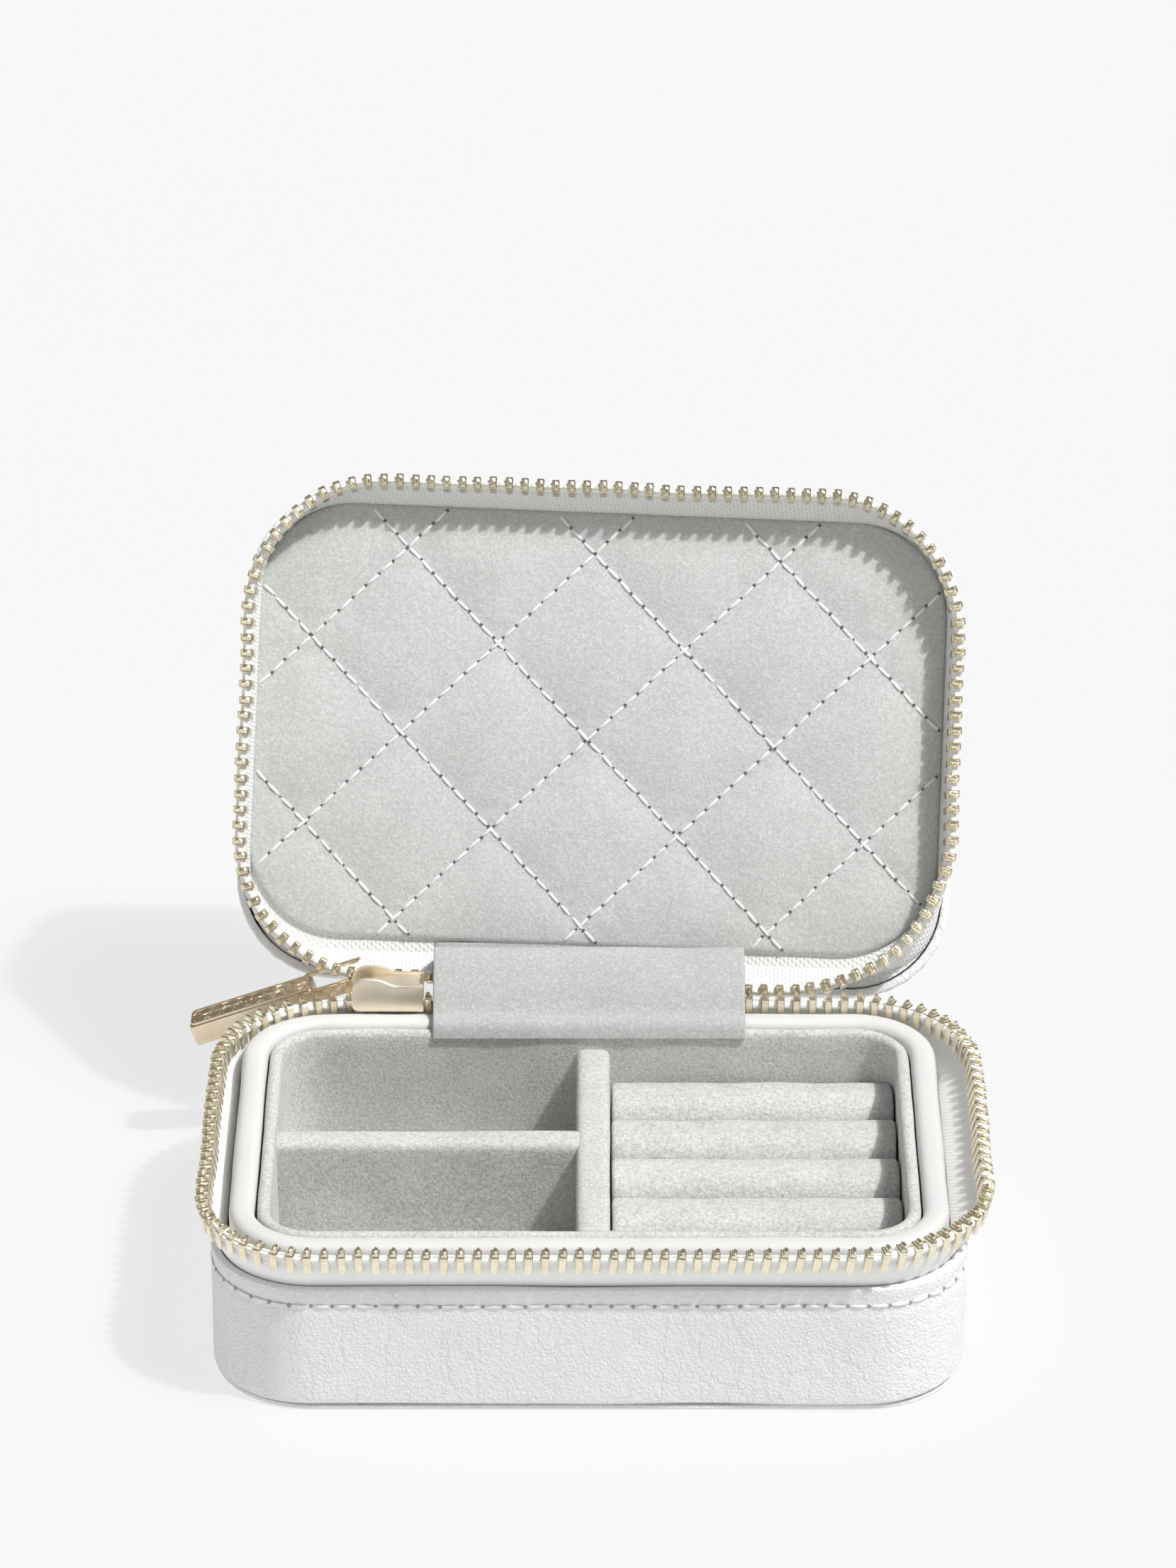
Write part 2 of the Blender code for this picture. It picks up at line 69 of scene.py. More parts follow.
# Box of a lid node in the shut place
def shutBox(node):
    shut = lidOpen.inverted()
    points = np.array([shut @ vertex.co for vertex in nodes[node].data.vertices])
    return Vector(points.min(0)), Vector(points.max(0))


wallLow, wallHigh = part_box("base_wall_wrap")
lidWallLow, lidWallHigh = shutBox("lid_wall_wrap")
collarLow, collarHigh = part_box("inner_collar")
linerLow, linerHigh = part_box("velvet_liner")
halfWidth, halfDepth = wallHigh.x, wallHigh.y

caseShape = {"corner": 15 * mm, "wrap": 1.2 * mm, "step": 1.1 * mm}


# Plan points clockwise from the middle of the rear side
# Corners: rear right, front right, front left, rear left
def planLoop(left, right, front, rear, corners):
    rearRight, frontRight, frontLeft, rearLeft = corners
    arcs = [
        (right - rearRight, rear - rearRight, rearRight, 90),
        (right - frontRight, front + frontRight, frontRight, 0),
        (left + frontLeft, front + frontLeft, frontLeft, -90),
        (left + rearLeft, rear - rearLeft, rearLeft, -180),
    ]
    knots = [(0.0, rear)]
    for x, y, radius, start in arcs:
        for step in range(25):
            angle = math.radians(start - 90 * step / 24)
            knots.append((x + radius * math.cos(angle), y + radius * math.sin(angle)))
    knots.append((0.0, rear))
    return np.array(knots)


def sampleLine(knots, count, trim=(0.0, 0.0)):
    along = np.concatenate([[0], np.cumsum(np.linalg.norm(np.diff(knots, axis=0), axis=1))])
    marks = np.linspace(trim[0], along[-1] - trim[1], count)
    return np.stack([np.interp(marks, along, knots[:, k]) for k in range(knots.shape[1])], 1)


# Direction out of the case at each point of a plan line
def outward(points, ring):
    if ring:
        ahead = np.roll(points, -1, 0) - np.roll(points, 1, 0)
    else:
        ahead = np.gradient(points, axis=0)
    ahead = ahead[:, :2] / np.linalg.norm(ahead[:, :2], axis=1)[:, None]
    return np.stack([-ahead[:, 1], ahead[:, 0]], 1)


# The case's own outline as an even ring of points with their outward directions
def caseRing():
    loop = planLoop(-halfWidth, halfWidth, -halfDepth, halfDepth, [caseShape["corner"]] * 4)
    count = int(2 * (2 * halfWidth + 2 * halfDepth) / caseShape["step"] / 2)
    points = sampleLine(loop, count + 1)[:-1]
    return points, outward(points, True)


def smoothed(mesh, angle=38):
    mesh.shade_smooth()
    mesh.set_sharp_from_angle(angle=math.radians(angle))
    return mesh


# A mesh from rows of points. Its UV map is in metres: u along the rows, v across them
def gridMesh(name, rows, ringAlong=False, ringAcross=False, capEnds=False, capSides=False):
    rows = np.asarray(rows, float)
    across, along = rows.shape[:2]
    nextRow = np.roll(rows, -1, 0) - rows
    nextColumn = np.roll(rows, -1, 1) - rows
    u = np.concatenate([[0], np.cumsum(np.linalg.norm(nextColumn, axis=2).mean(0))])
    v = np.concatenate([[0], np.cumsum(np.linalg.norm(nextRow, axis=2).mean(1))])
    faces, uvs = [], []
    for i in range(across if ringAcross else across - 1):
        for j in range(along if ringAlong else along - 1):
            iNext, jNext = (i + 1) % across, (j + 1) % along
            faces.append((i * along + j, i * along + jNext, iNext * along + jNext, iNext * along + j))
            uvs += [(u[j], v[i]), (u[j + 1], v[i]), (u[j + 1], v[i + 1]), (u[j], v[i + 1])]
    caps = []
    if capEnds:
        caps += [[i * along for i in range(across)], [i * along + along - 1 for i in range(across)]]
    if capSides:
        caps += [list(range(along)), list(range((across - 1) * along, across * along))]
    for cap in caps:
        faces.append(tuple(cap))
        uvs += [(0.0, 0.0)] * len(cap)
    mesh = bpy.data.meshes.new(name)
    mesh.from_pydata(rows.reshape(-1, 3).tolist(), [], faces)
    layer = mesh.uv_layers.new(name="UVMap")
    layer.data.foreach_set("uv", np.array(uvs, np.float32).ravel())
    turnOut(mesh)
    return smoothed(mesh)


def turnOut(mesh):
    edit = bmesh.new()
    edit.from_mesh(mesh)
    bmesh.ops.recalc_face_normals(edit, faces=edit.faces)
    edit.to_mesh(mesh)
    edit.free()
    return mesh


def finishedMesh(edit, name):
    mesh = bpy.data.meshes.new(name)
    edit.to_mesh(mesh)
    edit.free()
    return mesh


def joined(name, meshes):
    edit = bmesh.new()
    for mesh in meshes:
        edit.from_mesh(mesh)
    whole = finishedMesh(edit, name)
    for mesh in meshes:
        bpy.data.meshes.remove(mesh)
    return smoothed(whole)


# A closed profile of (inset, height) swept round the case
def caseSweep(profile):
    points, out = caseRing()
    rows = []
    for inset, height in profile:
        spot = points - out * inset
        rows.append(np.column_stack([spot, np.full(len(spot), height)]))
    return rows


# Quarter turns between straight runs: a closed polygon with its corners rounded
def softProfile(corners, radii, steps=5):
    line = []
    count = len(corners)
    for i, radius in enumerate(radii):
        here, before, after = (np.array(corners[k % count], float) for k in (i, i - 1, i + 1))
        if radius <= 0:
            line.append(tuple(here))
            continue
        toBefore, toAfter = before - here, after - here
        toBefore, toAfter = toBefore / np.linalg.norm(toBefore), toAfter / np.linalg.norm(toAfter)
        for step in range(steps + 1):
            t = step / steps
            start, end = here + toBefore * radius, here + toAfter * radius
            line.append(tuple(start * (1 - t) ** 2 + 2 * here * t * (1 - t) + end * t * t))
    return line


# More points on the long runs of a profile, so that the surface can give a little
def densified(profile, longest):
    line = []
    for here, after in zip(profile, profile[1:] + profile[:1]):
        here, after = np.array(here), np.array(after)
        pieces = max(1, int(math.ceil(np.linalg.norm(after - here) / longest)))
        line += [tuple(here + (after - here) * k / pieces) for k in range(pieces)]
    return line


# Small uneven give of soft goods, along the surface's own normals
def handmade(mesh, amount, size, seed=0.0):
    offset = Vector((seed * 3.1, seed * 1.7, seed * 2.3))
    for vertex, normal in zip(mesh.vertices, [v.normal.copy() for v in mesh.vertices]):
        vertex.co += normal * amount * noise.noise(vertex.co / size + offset)
    mesh.update()
    return mesh


# A bar along X or Y with a closed profile in the other two directions
def softBar(name, profile, start, end, axis="X", steps=40, roundEnds=0.0):
    centre = np.mean(profile, 0)
    rows = []
    stations = list(np.linspace(start, end, steps + 1))
    if roundEnds:
        extra = [roundEnds * (1 - math.cos(math.radians(a))) for a in (0, 30, 60)]
        inner = list(np.linspace(start + roundEnds, end - roundEnds, steps + 1))
        stations = [start + e for e in extra] + inner + [end - e for e in reversed(extra)]
    for side, height in profile:
        row = []
        for s in stations:
            edge = min(s - start, end - s)
            pull = 0.0
            if roundEnds and edge < roundEnds:
                pull = roundEnds * (1 - math.sqrt(max(0.0, 1 - (1 - edge / roundEnds) ** 2)))
            a, h = side, height
            reach = math.hypot(side - centre[0], height - centre[1])
            if reach > 1e-9:
                a -= (side - centre[0]) / reach * min(pull, reach * 0.6)
                h -= (height - centre[1]) / reach * min(pull, reach * 0.6)
            row.append((s, a, h) if axis == "X" else (a, s, h))
        rows.append(row)
    return gridMesh(name, rows, ringAcross=True, capEnds=True)


def roundedBlock(name, low, high, edge, segments=3):
    low, high = Vector(low), Vector(high)
    edit = bmesh.new()
    bmesh.ops.create_cube(edit, size=1)
    bmesh.ops.scale(edit, vec=high - low, verts=edit.verts)
    bmesh.ops.translate(edit, vec=(high + low) / 2, verts=edit.verts)
    bmesh.ops.bevel(edit, geom=edit.edges, offset=edge, segments=segments, profile=0.5, affect="EDGES")
    return smoothed(finishedMesh(edit, name))


# Puts a finished mesh in the scene as a piece
def makePiece(name, mesh, finish, body=None, stands=(), lid=False):
    if lid:
        mesh.transform(lidOpen)
        mesh.update()
    mesh.materials.clear()
    mesh.materials.append(finish)
    piece = bpy.data.objects.new(name, mesh)
    bpy.context.scene.collection.objects.link(piece)
    if body:
        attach(piece, body)
    if stands:
        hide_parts(*stands)
    return piece


def addNode(tree, kind, inputs=None, **settings):
    made = tree.nodes.new(kind)
    for key, value in settings.items():
        setattr(made, key, value)
    for key, value in (inputs or {}).items():
        if isinstance(value, bpy.types.NodeSocket):
            tree.links.new(value, made.inputs[key])
        else:
            made.inputs[key].default_value = value
    return made


def addMath(tree, operation, first, second=0.0, clamp=False):
    inputs = {0: first, 1: second}
    return addNode(tree, "ShaderNodeMath", inputs, operation=operation, use_clamp=clamp).outputs[0]


def addVector(tree, operation, inputs):
    return addNode(tree, "ShaderNodeVectorMath", inputs, operation=operation).outputs[0]


def addNoise(tree, place, scale, detail=2.0, **more):
    inputs = {"Vector": place, "Scale": scale, "Detail": detail, **more}
    return addNode(tree, "ShaderNodeTexNoise", inputs).outputs


def addEdges(tree, place, scale):
    inputs = {"Vector": place, "Scale": scale}
    return addNode(tree, "ShaderNodeTexVoronoi", inputs, feature="DISTANCE_TO_EDGE").outputs["Distance"]


def addRange(tree, value, low, high, kind="LINEAR"):
    inputs = {"Value": value, "From Min": low, "From Max": high}
    return addNode(tree, "ShaderNodeMapRange", inputs, interpolation_type=kind).outputs[0]


def mixColour(tree, share, first, second):
    return addNode(tree, "ShaderNodeMix", {0: share, 6: first, 7: second}, data_type="RGBA").outputs[2]


def startGroup(name, inputs, outputs):
    tree = bpy.data.node_groups.new(name, "ShaderNodeTree")
    for label, value in [("Vector", None), *inputs.items()]:
        kind = "Vector" if value is None else "Color" if isinstance(value, tuple) else "Float"
        socket = tree.interface.new_socket(label, in_out="INPUT", socket_type="NodeSocket" + kind)
        if value is not None:
            socket.default_value = value
    for label, kind in outputs.items():
        tree.interface.new_socket(label, in_out="OUTPUT", socket_type="NodeSocket" + kind)
    given, taken = tree.nodes.new("NodeGroupInput").outputs, tree.nodes.new("NodeGroupOutput").inputs

    def put(label, socket):
        tree.links.new(socket, taken[label])

    return tree, given, put


# Small rounded grains parted by fine creases, as on embossed leather
def makePebbleGroup():
    tree, given, put = startGroup("pebbleGrain",
        {"Grain Size": 0.0007, "Crease Size": 0.004, "Crease Depth": 0.5},
                                  {"Height": "Float", "Crease": "Float"})
    density = addMath(tree, "DIVIDE", 1.0, given["Grain Size"])
    warp = addNoise(tree, given["Vector"], density)
    shift = addVector(tree, "SUBTRACT", {0: warp["Color"], 1: (0.5, 0.5, 0.5)})
    amount = addVector(tree, "SCALE", {0: shift,
        "Scale": addMath(tree, "MULTIPLY", given["Grain Size"], 0.9)})
    place = addVector(tree, "ADD", {0: given["Vector"], 1: amount})
    dome = addRange(tree, addEdges(tree, place, density), 0.0, 0.28, "SMOOTHSTEP")
    creaseDensity = addMath(tree, "DIVIDE", 1.0, given["Crease Size"])
    stretch = addVector(tree, "MULTIPLY", {0: place, 1: (1.0, 1.0, 0.45)})
    bend = addNoise(tree, stretch, creaseDensity, 3.0, Roughness=0.6)
    push = addVector(tree, "SCALE", {0: bend["Color"],
        "Scale": addMath(tree, "MULTIPLY", given["Crease Size"], 1.1)})
    folds = addEdges(tree, addVector(tree, "ADD", {0: stretch, 1: push}), creaseDensity)
    line = addRange(tree, folds, 0.0, 0.16, "SMOOTHSTEP")
    fade = addRange(tree, bend["Fac"], 0.38, 0.62)
    crease = addMath(tree, "MULTIPLY", addMath(tree, "SUBTRACT", 1.0, line), fade)
    put("Height", addMath(tree, "SUBTRACT", dome, addMath(tree, "MULTIPLY", crease, given["Crease Depth"])))
    put("Crease", crease)
    return tree


# Short pile: a fine speckle with soft brushed patches
def makePileGroup():
    tree, given, put = startGroup("pileGrain", {"Fibre Size": 0.00025, "Patch Size": 0.008},
                                  {"Height": "Float", "Speckle": "Float", "Patch": "Float"})
    place, size = given["Vector"], given["Fibre Size"]
    fine = addNoise(tree, place, addMath(tree, "DIVIDE", 1.0, size), 2.0, Roughness=0.7)
    broad = addNoise(tree, place, addMath(tree, "DIVIDE", 1.0, given["Patch Size"]), 3.0, Distortion=0.4)
    coarse = addNoise(tree, place, addMath(tree, "DIVIDE", 0.45, size), 1.0)
    tuft = addMath(tree, "ADD", addMath(tree, "MULTIPLY", fine["Fac"], 0.6),
        addMath(tree, "MULTIPLY", coarse["Fac"], 0.4))
    put("Height", tuft)
    put("Speckle", addRange(tree, tuft, 0.36, 0.64))
    put("Patch", addRange(tree, broad["Fac"], 0.3, 0.7))
    return tree


# A diagonal weave on a UV map in metres
def makeWeaveGroup():
    tree, given, put = startGroup("twillWeave", {"Thread": 0.0004}, {"Height": "Float", "Gap": "Float"})
    axes = addNode(tree, "ShaderNodeSeparateXYZ", {0: given["Vector"]})
    turns = addMath(tree, "DIVIDE", math.pi, given["Thread"])
    warpAngle = addMath(tree, "MULTIPLY", axes.outputs["X"], turns)
    rise = addMath(tree, "MULTIPLY", axes.outputs["Y"], turns)
    threads = addMath(tree, "ABSOLUTE", addMath(tree, "SINE", warpAngle))
    slant = addMath(tree, "SINE", addMath(tree, "ADD", warpAngle, addMath(tree, "MULTIPLY", rise, 1.3)))
    slant = addRange(tree, slant, -1.0, 1.0)
    height = addMath(tree, "ADD", addMath(tree, "MULTIPLY", threads, 0.5),
        addMath(tree, "MULTIPLY", slant, 0.5))
    put("Height", height)
    put("Gap", addMath(tree, "SUBTRACT", 1.0, height, True))
    return tree


# Rubbed and dulled patches on plated metal
def makeRubGroup():
    tree, given, put = startGroup(
        "rubbedPlating",
        {"Patch Size": 0.003, "Smooth": 0.2, "Dull": 0.4, "Bright Colour": (0.9, 0.8, 0.6, 1),
        "Deep Colour": (0.7, 0.5, 0.3, 1)},
        {"Colour": "Color", "Roughness": "Float", "Scratch": "Float"})
    broad = addNoise(tree, given["Vector"], addMath(tree, "DIVIDE", 1.0, given["Patch Size"]), 5.0,
        Roughness=0.6)
    mask = addRange(tree, broad["Fac"], 0.35, 0.65)
    rough = addNode(tree, "ShaderNodeMix", {0: mask, 2: given["Smooth"], 3: given["Dull"]},
        data_type="FLOAT")
    long = addVector(tree, "MULTIPLY", {0: given["Vector"], 1: (1.0, 1.0, 9.0)})
    put("Colour", mixColour(tree, mask, given["Deep Colour"], given["Bright Colour"]))
    put("Roughness", rough.outputs[0])
    put("Scratch", addNoise(tree, long, 2600.0)["Fac"])
    return tree


pebbleGroup, pileGroup = makePebbleGroup(), makePileGroup()
weaveGroup, rubGroup = makeWeaveGroup(), makeRubGroup()


def startMaterial(name, uv=False, **sockets):
    material = bpy.data.materials.new(name)
    material.use_nodes = True
    tree = material.node_tree
    shader = tree.nodes["Principled BSDF"]
    for label, value in sockets.items():
        shader.inputs[label.replace("_", " ")].default_value = value
    if uv:
        place = addNode(tree, "ShaderNodeUVMap", uv_map="UVMap").outputs["UV"]
    else:
        place = tree.nodes.new("ShaderNodeTexCoord").outputs["Object"]
    return material, tree, shader, place


def addGroup(tree, group, place, inputs):
    made = addNode(tree, "ShaderNodeGroup", node_tree=group)
    tree.links.new(place, made.inputs["Vector"])
    for key, value in inputs.items():
        made.inputs[key].default_value = value
    return made.outputs


def addPile(tree, place, fibre, patch):
    return addGroup(tree, pileGroup, place, {"Fibre Size": fibre, "Patch Size": patch})


# The colour, roughness and relief of a material
def finishShader(tree, shader, colour, height, depth, grain, rough, smooth):
    tree.links.new(colour, shader.inputs["Base Color"])
    span = addNode(tree, "ShaderNodeMapRange", {"Value": grain, "To Min": rough, "To Max": smooth})
    tree.links.new(span.outputs[0], shader.inputs["Roughness"])
    bump = addNode(tree, "ShaderNodeBump", {"Height": height, "Distance": depth})
    tree.links.new(bump.outputs["Normal"], shader.inputs["Normal"])


def makeLeather(name, look):
    material, tree, shader, place = startMaterial(name, Coat_Weight=look["coat"], Coat_Roughness=0.4)
    grain = addGroup(tree, pebbleGroup, place, {"Grain Size": look["grain"], "Crease Size": look["crease"],
                                                "Crease Depth": look["creaseDepth"]})
    patch = addPile(tree, place, look["grain"], look["patch"])
    even = mixColour(tree, patch["Patch"], look["shade"], look["colour"])
    # Painted shade: the grain's creases are darkened a little toward the deep colour
    creaseShaded = mixColour(tree, addMath(tree, "MULTIPLY", grain["Crease"], 0.1), even, look["deep"])
    finishShader(tree, shader, creaseShaded, grain["Height"], look["depth"], grain["Height"], look["rough"] + 0.12,
        look["rough"])
    return material


def makeVelvet(name, look):
    material, tree, shader, place = startMaterial(name, Sheen_Weight=look["sheen"], Sheen_Roughness=0.45,
                                                  Specular_IOR_Level=0.2)
    pile = addPile(tree, place, look["fibre"], look["patch"])
    brushed = mixColour(tree, pile["Patch"], look["shade"], look["colour"])
    spread = addNode(tree, "ShaderNodeMapRange",
        {"Value": pile["Speckle"], "To Min": -look["speckle"], "To Max": look["speckle"]})
    darker = mixColour(tree, addMath(tree, "MULTIPLY", spread.outputs[0], -1.0, True), brushed,
        look["deep"])
    speckled = mixColour(tree, addMath(tree, "ADD", spread.outputs[0], 0.0, True), darker, look["light"])
    finishShader(tree, shader, speckled, pile["Height"], look["depth"], pile["Patch"], 0.86, 0.98)
    return material


def makeWoven(name, look):
    material, tree, shader, place = startMaterial(name, uv=True, Sheen_Weight=0.15, Sheen_Roughness=0.5)
    weave = addGroup(tree, weaveGroup, place, {"Thread": look["thread"]})
    pile = addPile(tree, tree.nodes.new("ShaderNodeTexCoord").outputs["Object"], 0.2 * mm, 6 * mm)
    # Painted shade: the gaps between the threads are darkened toward the deep colour
    threads = mixColour(tree, weave["Gap"], look["colour"], look["deep"])
    fluffed = mixColour(tree, addMath(tree, "MULTIPLY", pile["Speckle"], 0.3), threads, look["light"])
    finishShader(tree, shader, fluffed, weave["Height"], look["depth"], weave["Height"], 0.9, 0.7)
    return material


def makeGold(name, look):
    material, tree, shader, place = startMaterial(name, Metallic=1.0)
    rub = addGroup(tree, rubGroup, place, {"Patch Size": look["patch"], "Smooth": look["smooth"],
        "Dull": look["dull"],
                                           "Bright Colour": look["bright"], "Deep Colour": look["deep"]})
    finishShader(tree, shader, rub["Colour"], rub["Scratch"], look["depth"], rub["Roughness"], 0.0, 1.0)
    return material


# Sewing thread; where the attribute "hole" is 1 it is the shadowed needle hole instead
def makeThread(name, colour, holeColour):
    material, tree, shader, place = startMaterial(name, Sheen_Weight=0.2)
    pile = addPile(tree, place, 0.18 * mm, 3 * mm)
    twisted = mixColour(tree, pile["Speckle"], [c * 0.86 for c in colour[:3]] + [1], colour)
    hole = addNode(tree, "ShaderNodeAttribute", attribute_name="hole").outputs["Fac"]
    sewn = mixColour(tree, hole, twisted, holeColour)
    finishShader(tree, shader, sewn, pile["Height"], 0.04 * mm, pile["Patch"], 0.6, 0.8)
    return material


def makeBoard(name, colour, deep, size, depth):
    material, tree, shader, place = startMaterial(name)
    pile = addPile(tree, place, size, size * 12)
    flecks = mixColour(tree, pile["Speckle"], deep, colour)
    finishShader(tree, shader, flecks, pile["Height"], depth, pile["Patch"], 0.85, 0.97)
    return material


# In the leathers, deep is the painted shade colour of the grain's creases
outerLeather = makeLeather("creasedWhiteLeather", {
    "colour": (0.85, 0.85, 0.85, 1), "shade": (0.82, 0.82, 0.825, 1), "deep": (0.62, 0.62, 0.63, 1),
    "grain": 0.8 * mm, "crease": 3.0 * mm, "creaseDepth": 1.3, "patch": 14 * mm, "depth": 0.06 * mm,
    "rough": 0.5, "coat": 0.05})
rimLeather = makeLeather("smoothWhiteLeather", {
    "colour": (0.74, 0.735, 0.722, 1), "shade": (0.71, 0.705, 0.695, 1), "deep": (0.66, 0.65, 0.64, 1),
    "grain": 0.4 * mm, "crease": 4.5 * mm, "creaseDepth": 0.8, "patch": 10 * mm, "depth": 0.012 * mm,
    "rough": 0.45, "coat": 0.08})
trayVelvet = makeVelvet("trayVelvet", {
    "colour": (0.66, 0.668, 0.645, 1), "shade": (0.57, 0.578, 0.56, 1), "light": (0.86, 0.865, 0.84, 1),
    "deep": (0.36, 0.37, 0.355, 1), "speckle": 0.62,
    "fibre": 0.24 * mm, "patch": 7 * mm, "depth": 0.2 * mm, "sheen": 0.2})
quiltVelvet = makeVelvet("quiltVelvet", {
    "colour": (0.58, 0.592, 0.578, 1), "shade": (0.53, 0.542, 0.527, 1), "light": (0.78, 0.79, 0.77, 1),
    "deep": (0.42, 0.43, 0.415, 1), "speckle": 0.5,
    "fibre": 0.23 * mm, "patch": 9 * mm, "depth": 0.15 * mm, "sheen": 0.2})
# A darker copy of the velvet: painted shade for the hinge flap under the pad's edge
flapVelvetPaintedShade = makeVelvet("flapVelvetPaintedShade", {
    "colour": (0.51, 0.52, 0.508, 1), "shade": (0.46, 0.47, 0.458, 1), "light": (0.72, 0.73, 0.71, 1),
    "deep": (0.37, 0.38, 0.365, 1), "speckle": 0.5,
    "fibre": 0.23 * mm, "patch": 9 * mm, "depth": 0.15 * mm, "sheen": 0.15})
# In the woven looks, deep is the painted shade colour between the threads
wovenTape = makeWoven("wovenTape", {
    "colour": (0.93, 0.93, 0.92, 1), "deep": (0.82, 0.82, 0.81, 1), "light": (0.96, 0.96, 0.95, 1),
    "thread": 0.5 * mm, "depth": 0.06 * mm})
# A darker copy of the woven tape: painted shade for the lid's tape and its flange
shadedTape = makeWoven("innerTapePaintedShade", {
    "colour": (0.85, 0.85, 0.84, 1), "deep": (0.68, 0.68, 0.67, 1), "light": (0.91, 0.91, 0.90, 1),
    "thread": 0.62 * mm, "depth": 0.14 * mm})
beadCord = makeWoven("tapeBead", {
    "colour": (0.93, 0.93, 0.90, 1), "deep": (0.80, 0.80, 0.76, 1), "light": (0.95, 0.95, 0.92, 1),
    "thread": 0.3 * mm, "depth": 0.05 * mm})
chainGold = makeGold("chainGold", {
    "bright": (0.95, 0.89, 0.72, 1), "deep": (0.84, 0.74, 0.54, 1), "patch": 1.8 * mm, "smooth": 0.12,
    "dull": 0.27, "depth": 0.012 * mm})
pullGold = makeGold("pullGold", {
    "bright": (0.85, 0.73, 0.56, 1), "deep": (0.77, 0.63, 0.46, 1), "patch": 4 * mm, "smooth": 0.2,
    "dull": 0.34, "depth": 0.006 * mm})
sliderGold = makeGold("sliderGold", {
    "bright": (0.97, 0.87, 0.72, 1), "deep": (0.92, 0.81, 0.65, 1), "patch": 5 * mm, "smooth": 0.36,
    "dull": 0.5, "depth": 0.006 * mm})
seamThread = makeThread("whiteThread", (0.90, 0.90, 0.895, 1), (0.33, 0.325, 0.32, 1))
quiltThread = makeThread("quiltThread", (0.88, 0.89, 0.87, 1), (0.10, 0.10, 0.095, 1))
greyBoard = makeBoard("greyBoard", (0.46, 0.45, 0.43, 1), (0.36, 0.35, 0.33, 1), 0.5 * mm, 0.03 * mm)
packingFoam = makeBoard("packingFoam", (0.82, 0.82, 0.80, 1), (0.66, 0.66, 0.64, 1), 0.6 * mm, 0.12 * mm)
print("materials ready")


def makeRepeatTree():
    tree = bpy.data.node_groups.new("repeatAlongLine", "GeometryNodeTree")
    face = tree.interface
    face.new_socket("Line", in_out="INPUT", socket_type="NodeSocketGeometry")
    face.new_socket("Geometry", in_out="OUTPUT", socket_type="NodeSocketGeometry")
    for label, kind, value in (
        ("Shape", "Object", None), ("Finish", "Material", None), ("Spacing", "Float", 0.0024),
        ("Size Jitter", "Float", 0.0), ("Turn Jitter", "Float", 0.0), ("Seed", "Int", 1),
    ):
        socket = face.new_socket(label, in_out="INPUT", socket_type="NodeSocket" + kind)
        if value is not None:
            socket.default_value = value
    given, put = tree.nodes.new("NodeGroupInput").outputs, tree.nodes.new("NodeGroupOutput").inputs
    curve = addNode(tree, "GeometryNodeMeshToCurve", {"Mesh": given["Line"]})
    even = addNode(tree, "GeometryNodeResampleCurve",
        {"Curve": curve.outputs[0], "Length": given["Spacing"]}, mode="LENGTH")
    lean = addNode(tree, "GeometryNodeInputNamedAttribute", {"Name": "lean"}, data_type="FLOAT_VECTOR")
    tangent = tree.nodes.new("GeometryNodeInputTangent")
    facing = addNode(tree, "FunctionNodeAxesToRotation",
        {"Primary Axis": lean.outputs["Attribute"], "Secondary Axis": tangent.outputs[0]},
                     primary_axis="Z", secondary_axis="X")
    sway = addNode(tree, "FunctionNodeRandomValue", {"Seed": given["Seed"]}, data_type="FLOAT_VECTOR")
    sway.inputs[0].default_value, sway.inputs[1].default_value = (-1, -1, -1), (1, 1, 1)
    turn = addVector(tree, "SCALE", {0: sway.outputs[0], "Scale": given["Turn Jitter"]})
    swayed = addNode(tree, "FunctionNodeEulerToRotation", {0: turn})
    turned = addNode(tree, "FunctionNodeRotateRotation",
        {"Rotation": facing.outputs[0], "Rotate By": swayed.outputs[0]}, rotation_space="LOCAL")
    grow = addNode(tree, "FunctionNodeRandomValue", {"Seed": given["Seed"]}, data_type="FLOAT")
    floats = [s for s in grow.inputs if s.type == "VALUE"]
    tree.links.new(addMath(tree, "SUBTRACT", 1.0, given["Size Jitter"]), floats[0])
    tree.links.new(addMath(tree, "ADD", 1.0, given["Size Jitter"]), floats[1])
    grown = next(s for s in grow.outputs if s.type == "VALUE")
    shape = addNode(tree, "GeometryNodeObjectInfo", {"Object": given["Shape"]}, transform_space="ORIGINAL")
    spread = addNode(tree, "GeometryNodeInstanceOnPoints",
        {"Points": even.outputs[0], "Instance": shape.outputs["Geometry"],
                                                           "Rotation": turned.outputs[0], "Scale": grown})
    real = addNode(tree, "GeometryNodeRealizeInstances", {"Geometry": spread.outputs[0]})
    finished = addNode(tree, "GeometryNodeSetMaterial",
        {"Geometry": real.outputs[0], "Material": given["Finish"]})
    tree.links.new(finished.outputs[0], put["Geometry"])
    return tree


repeatTree = makeRepeatTree()


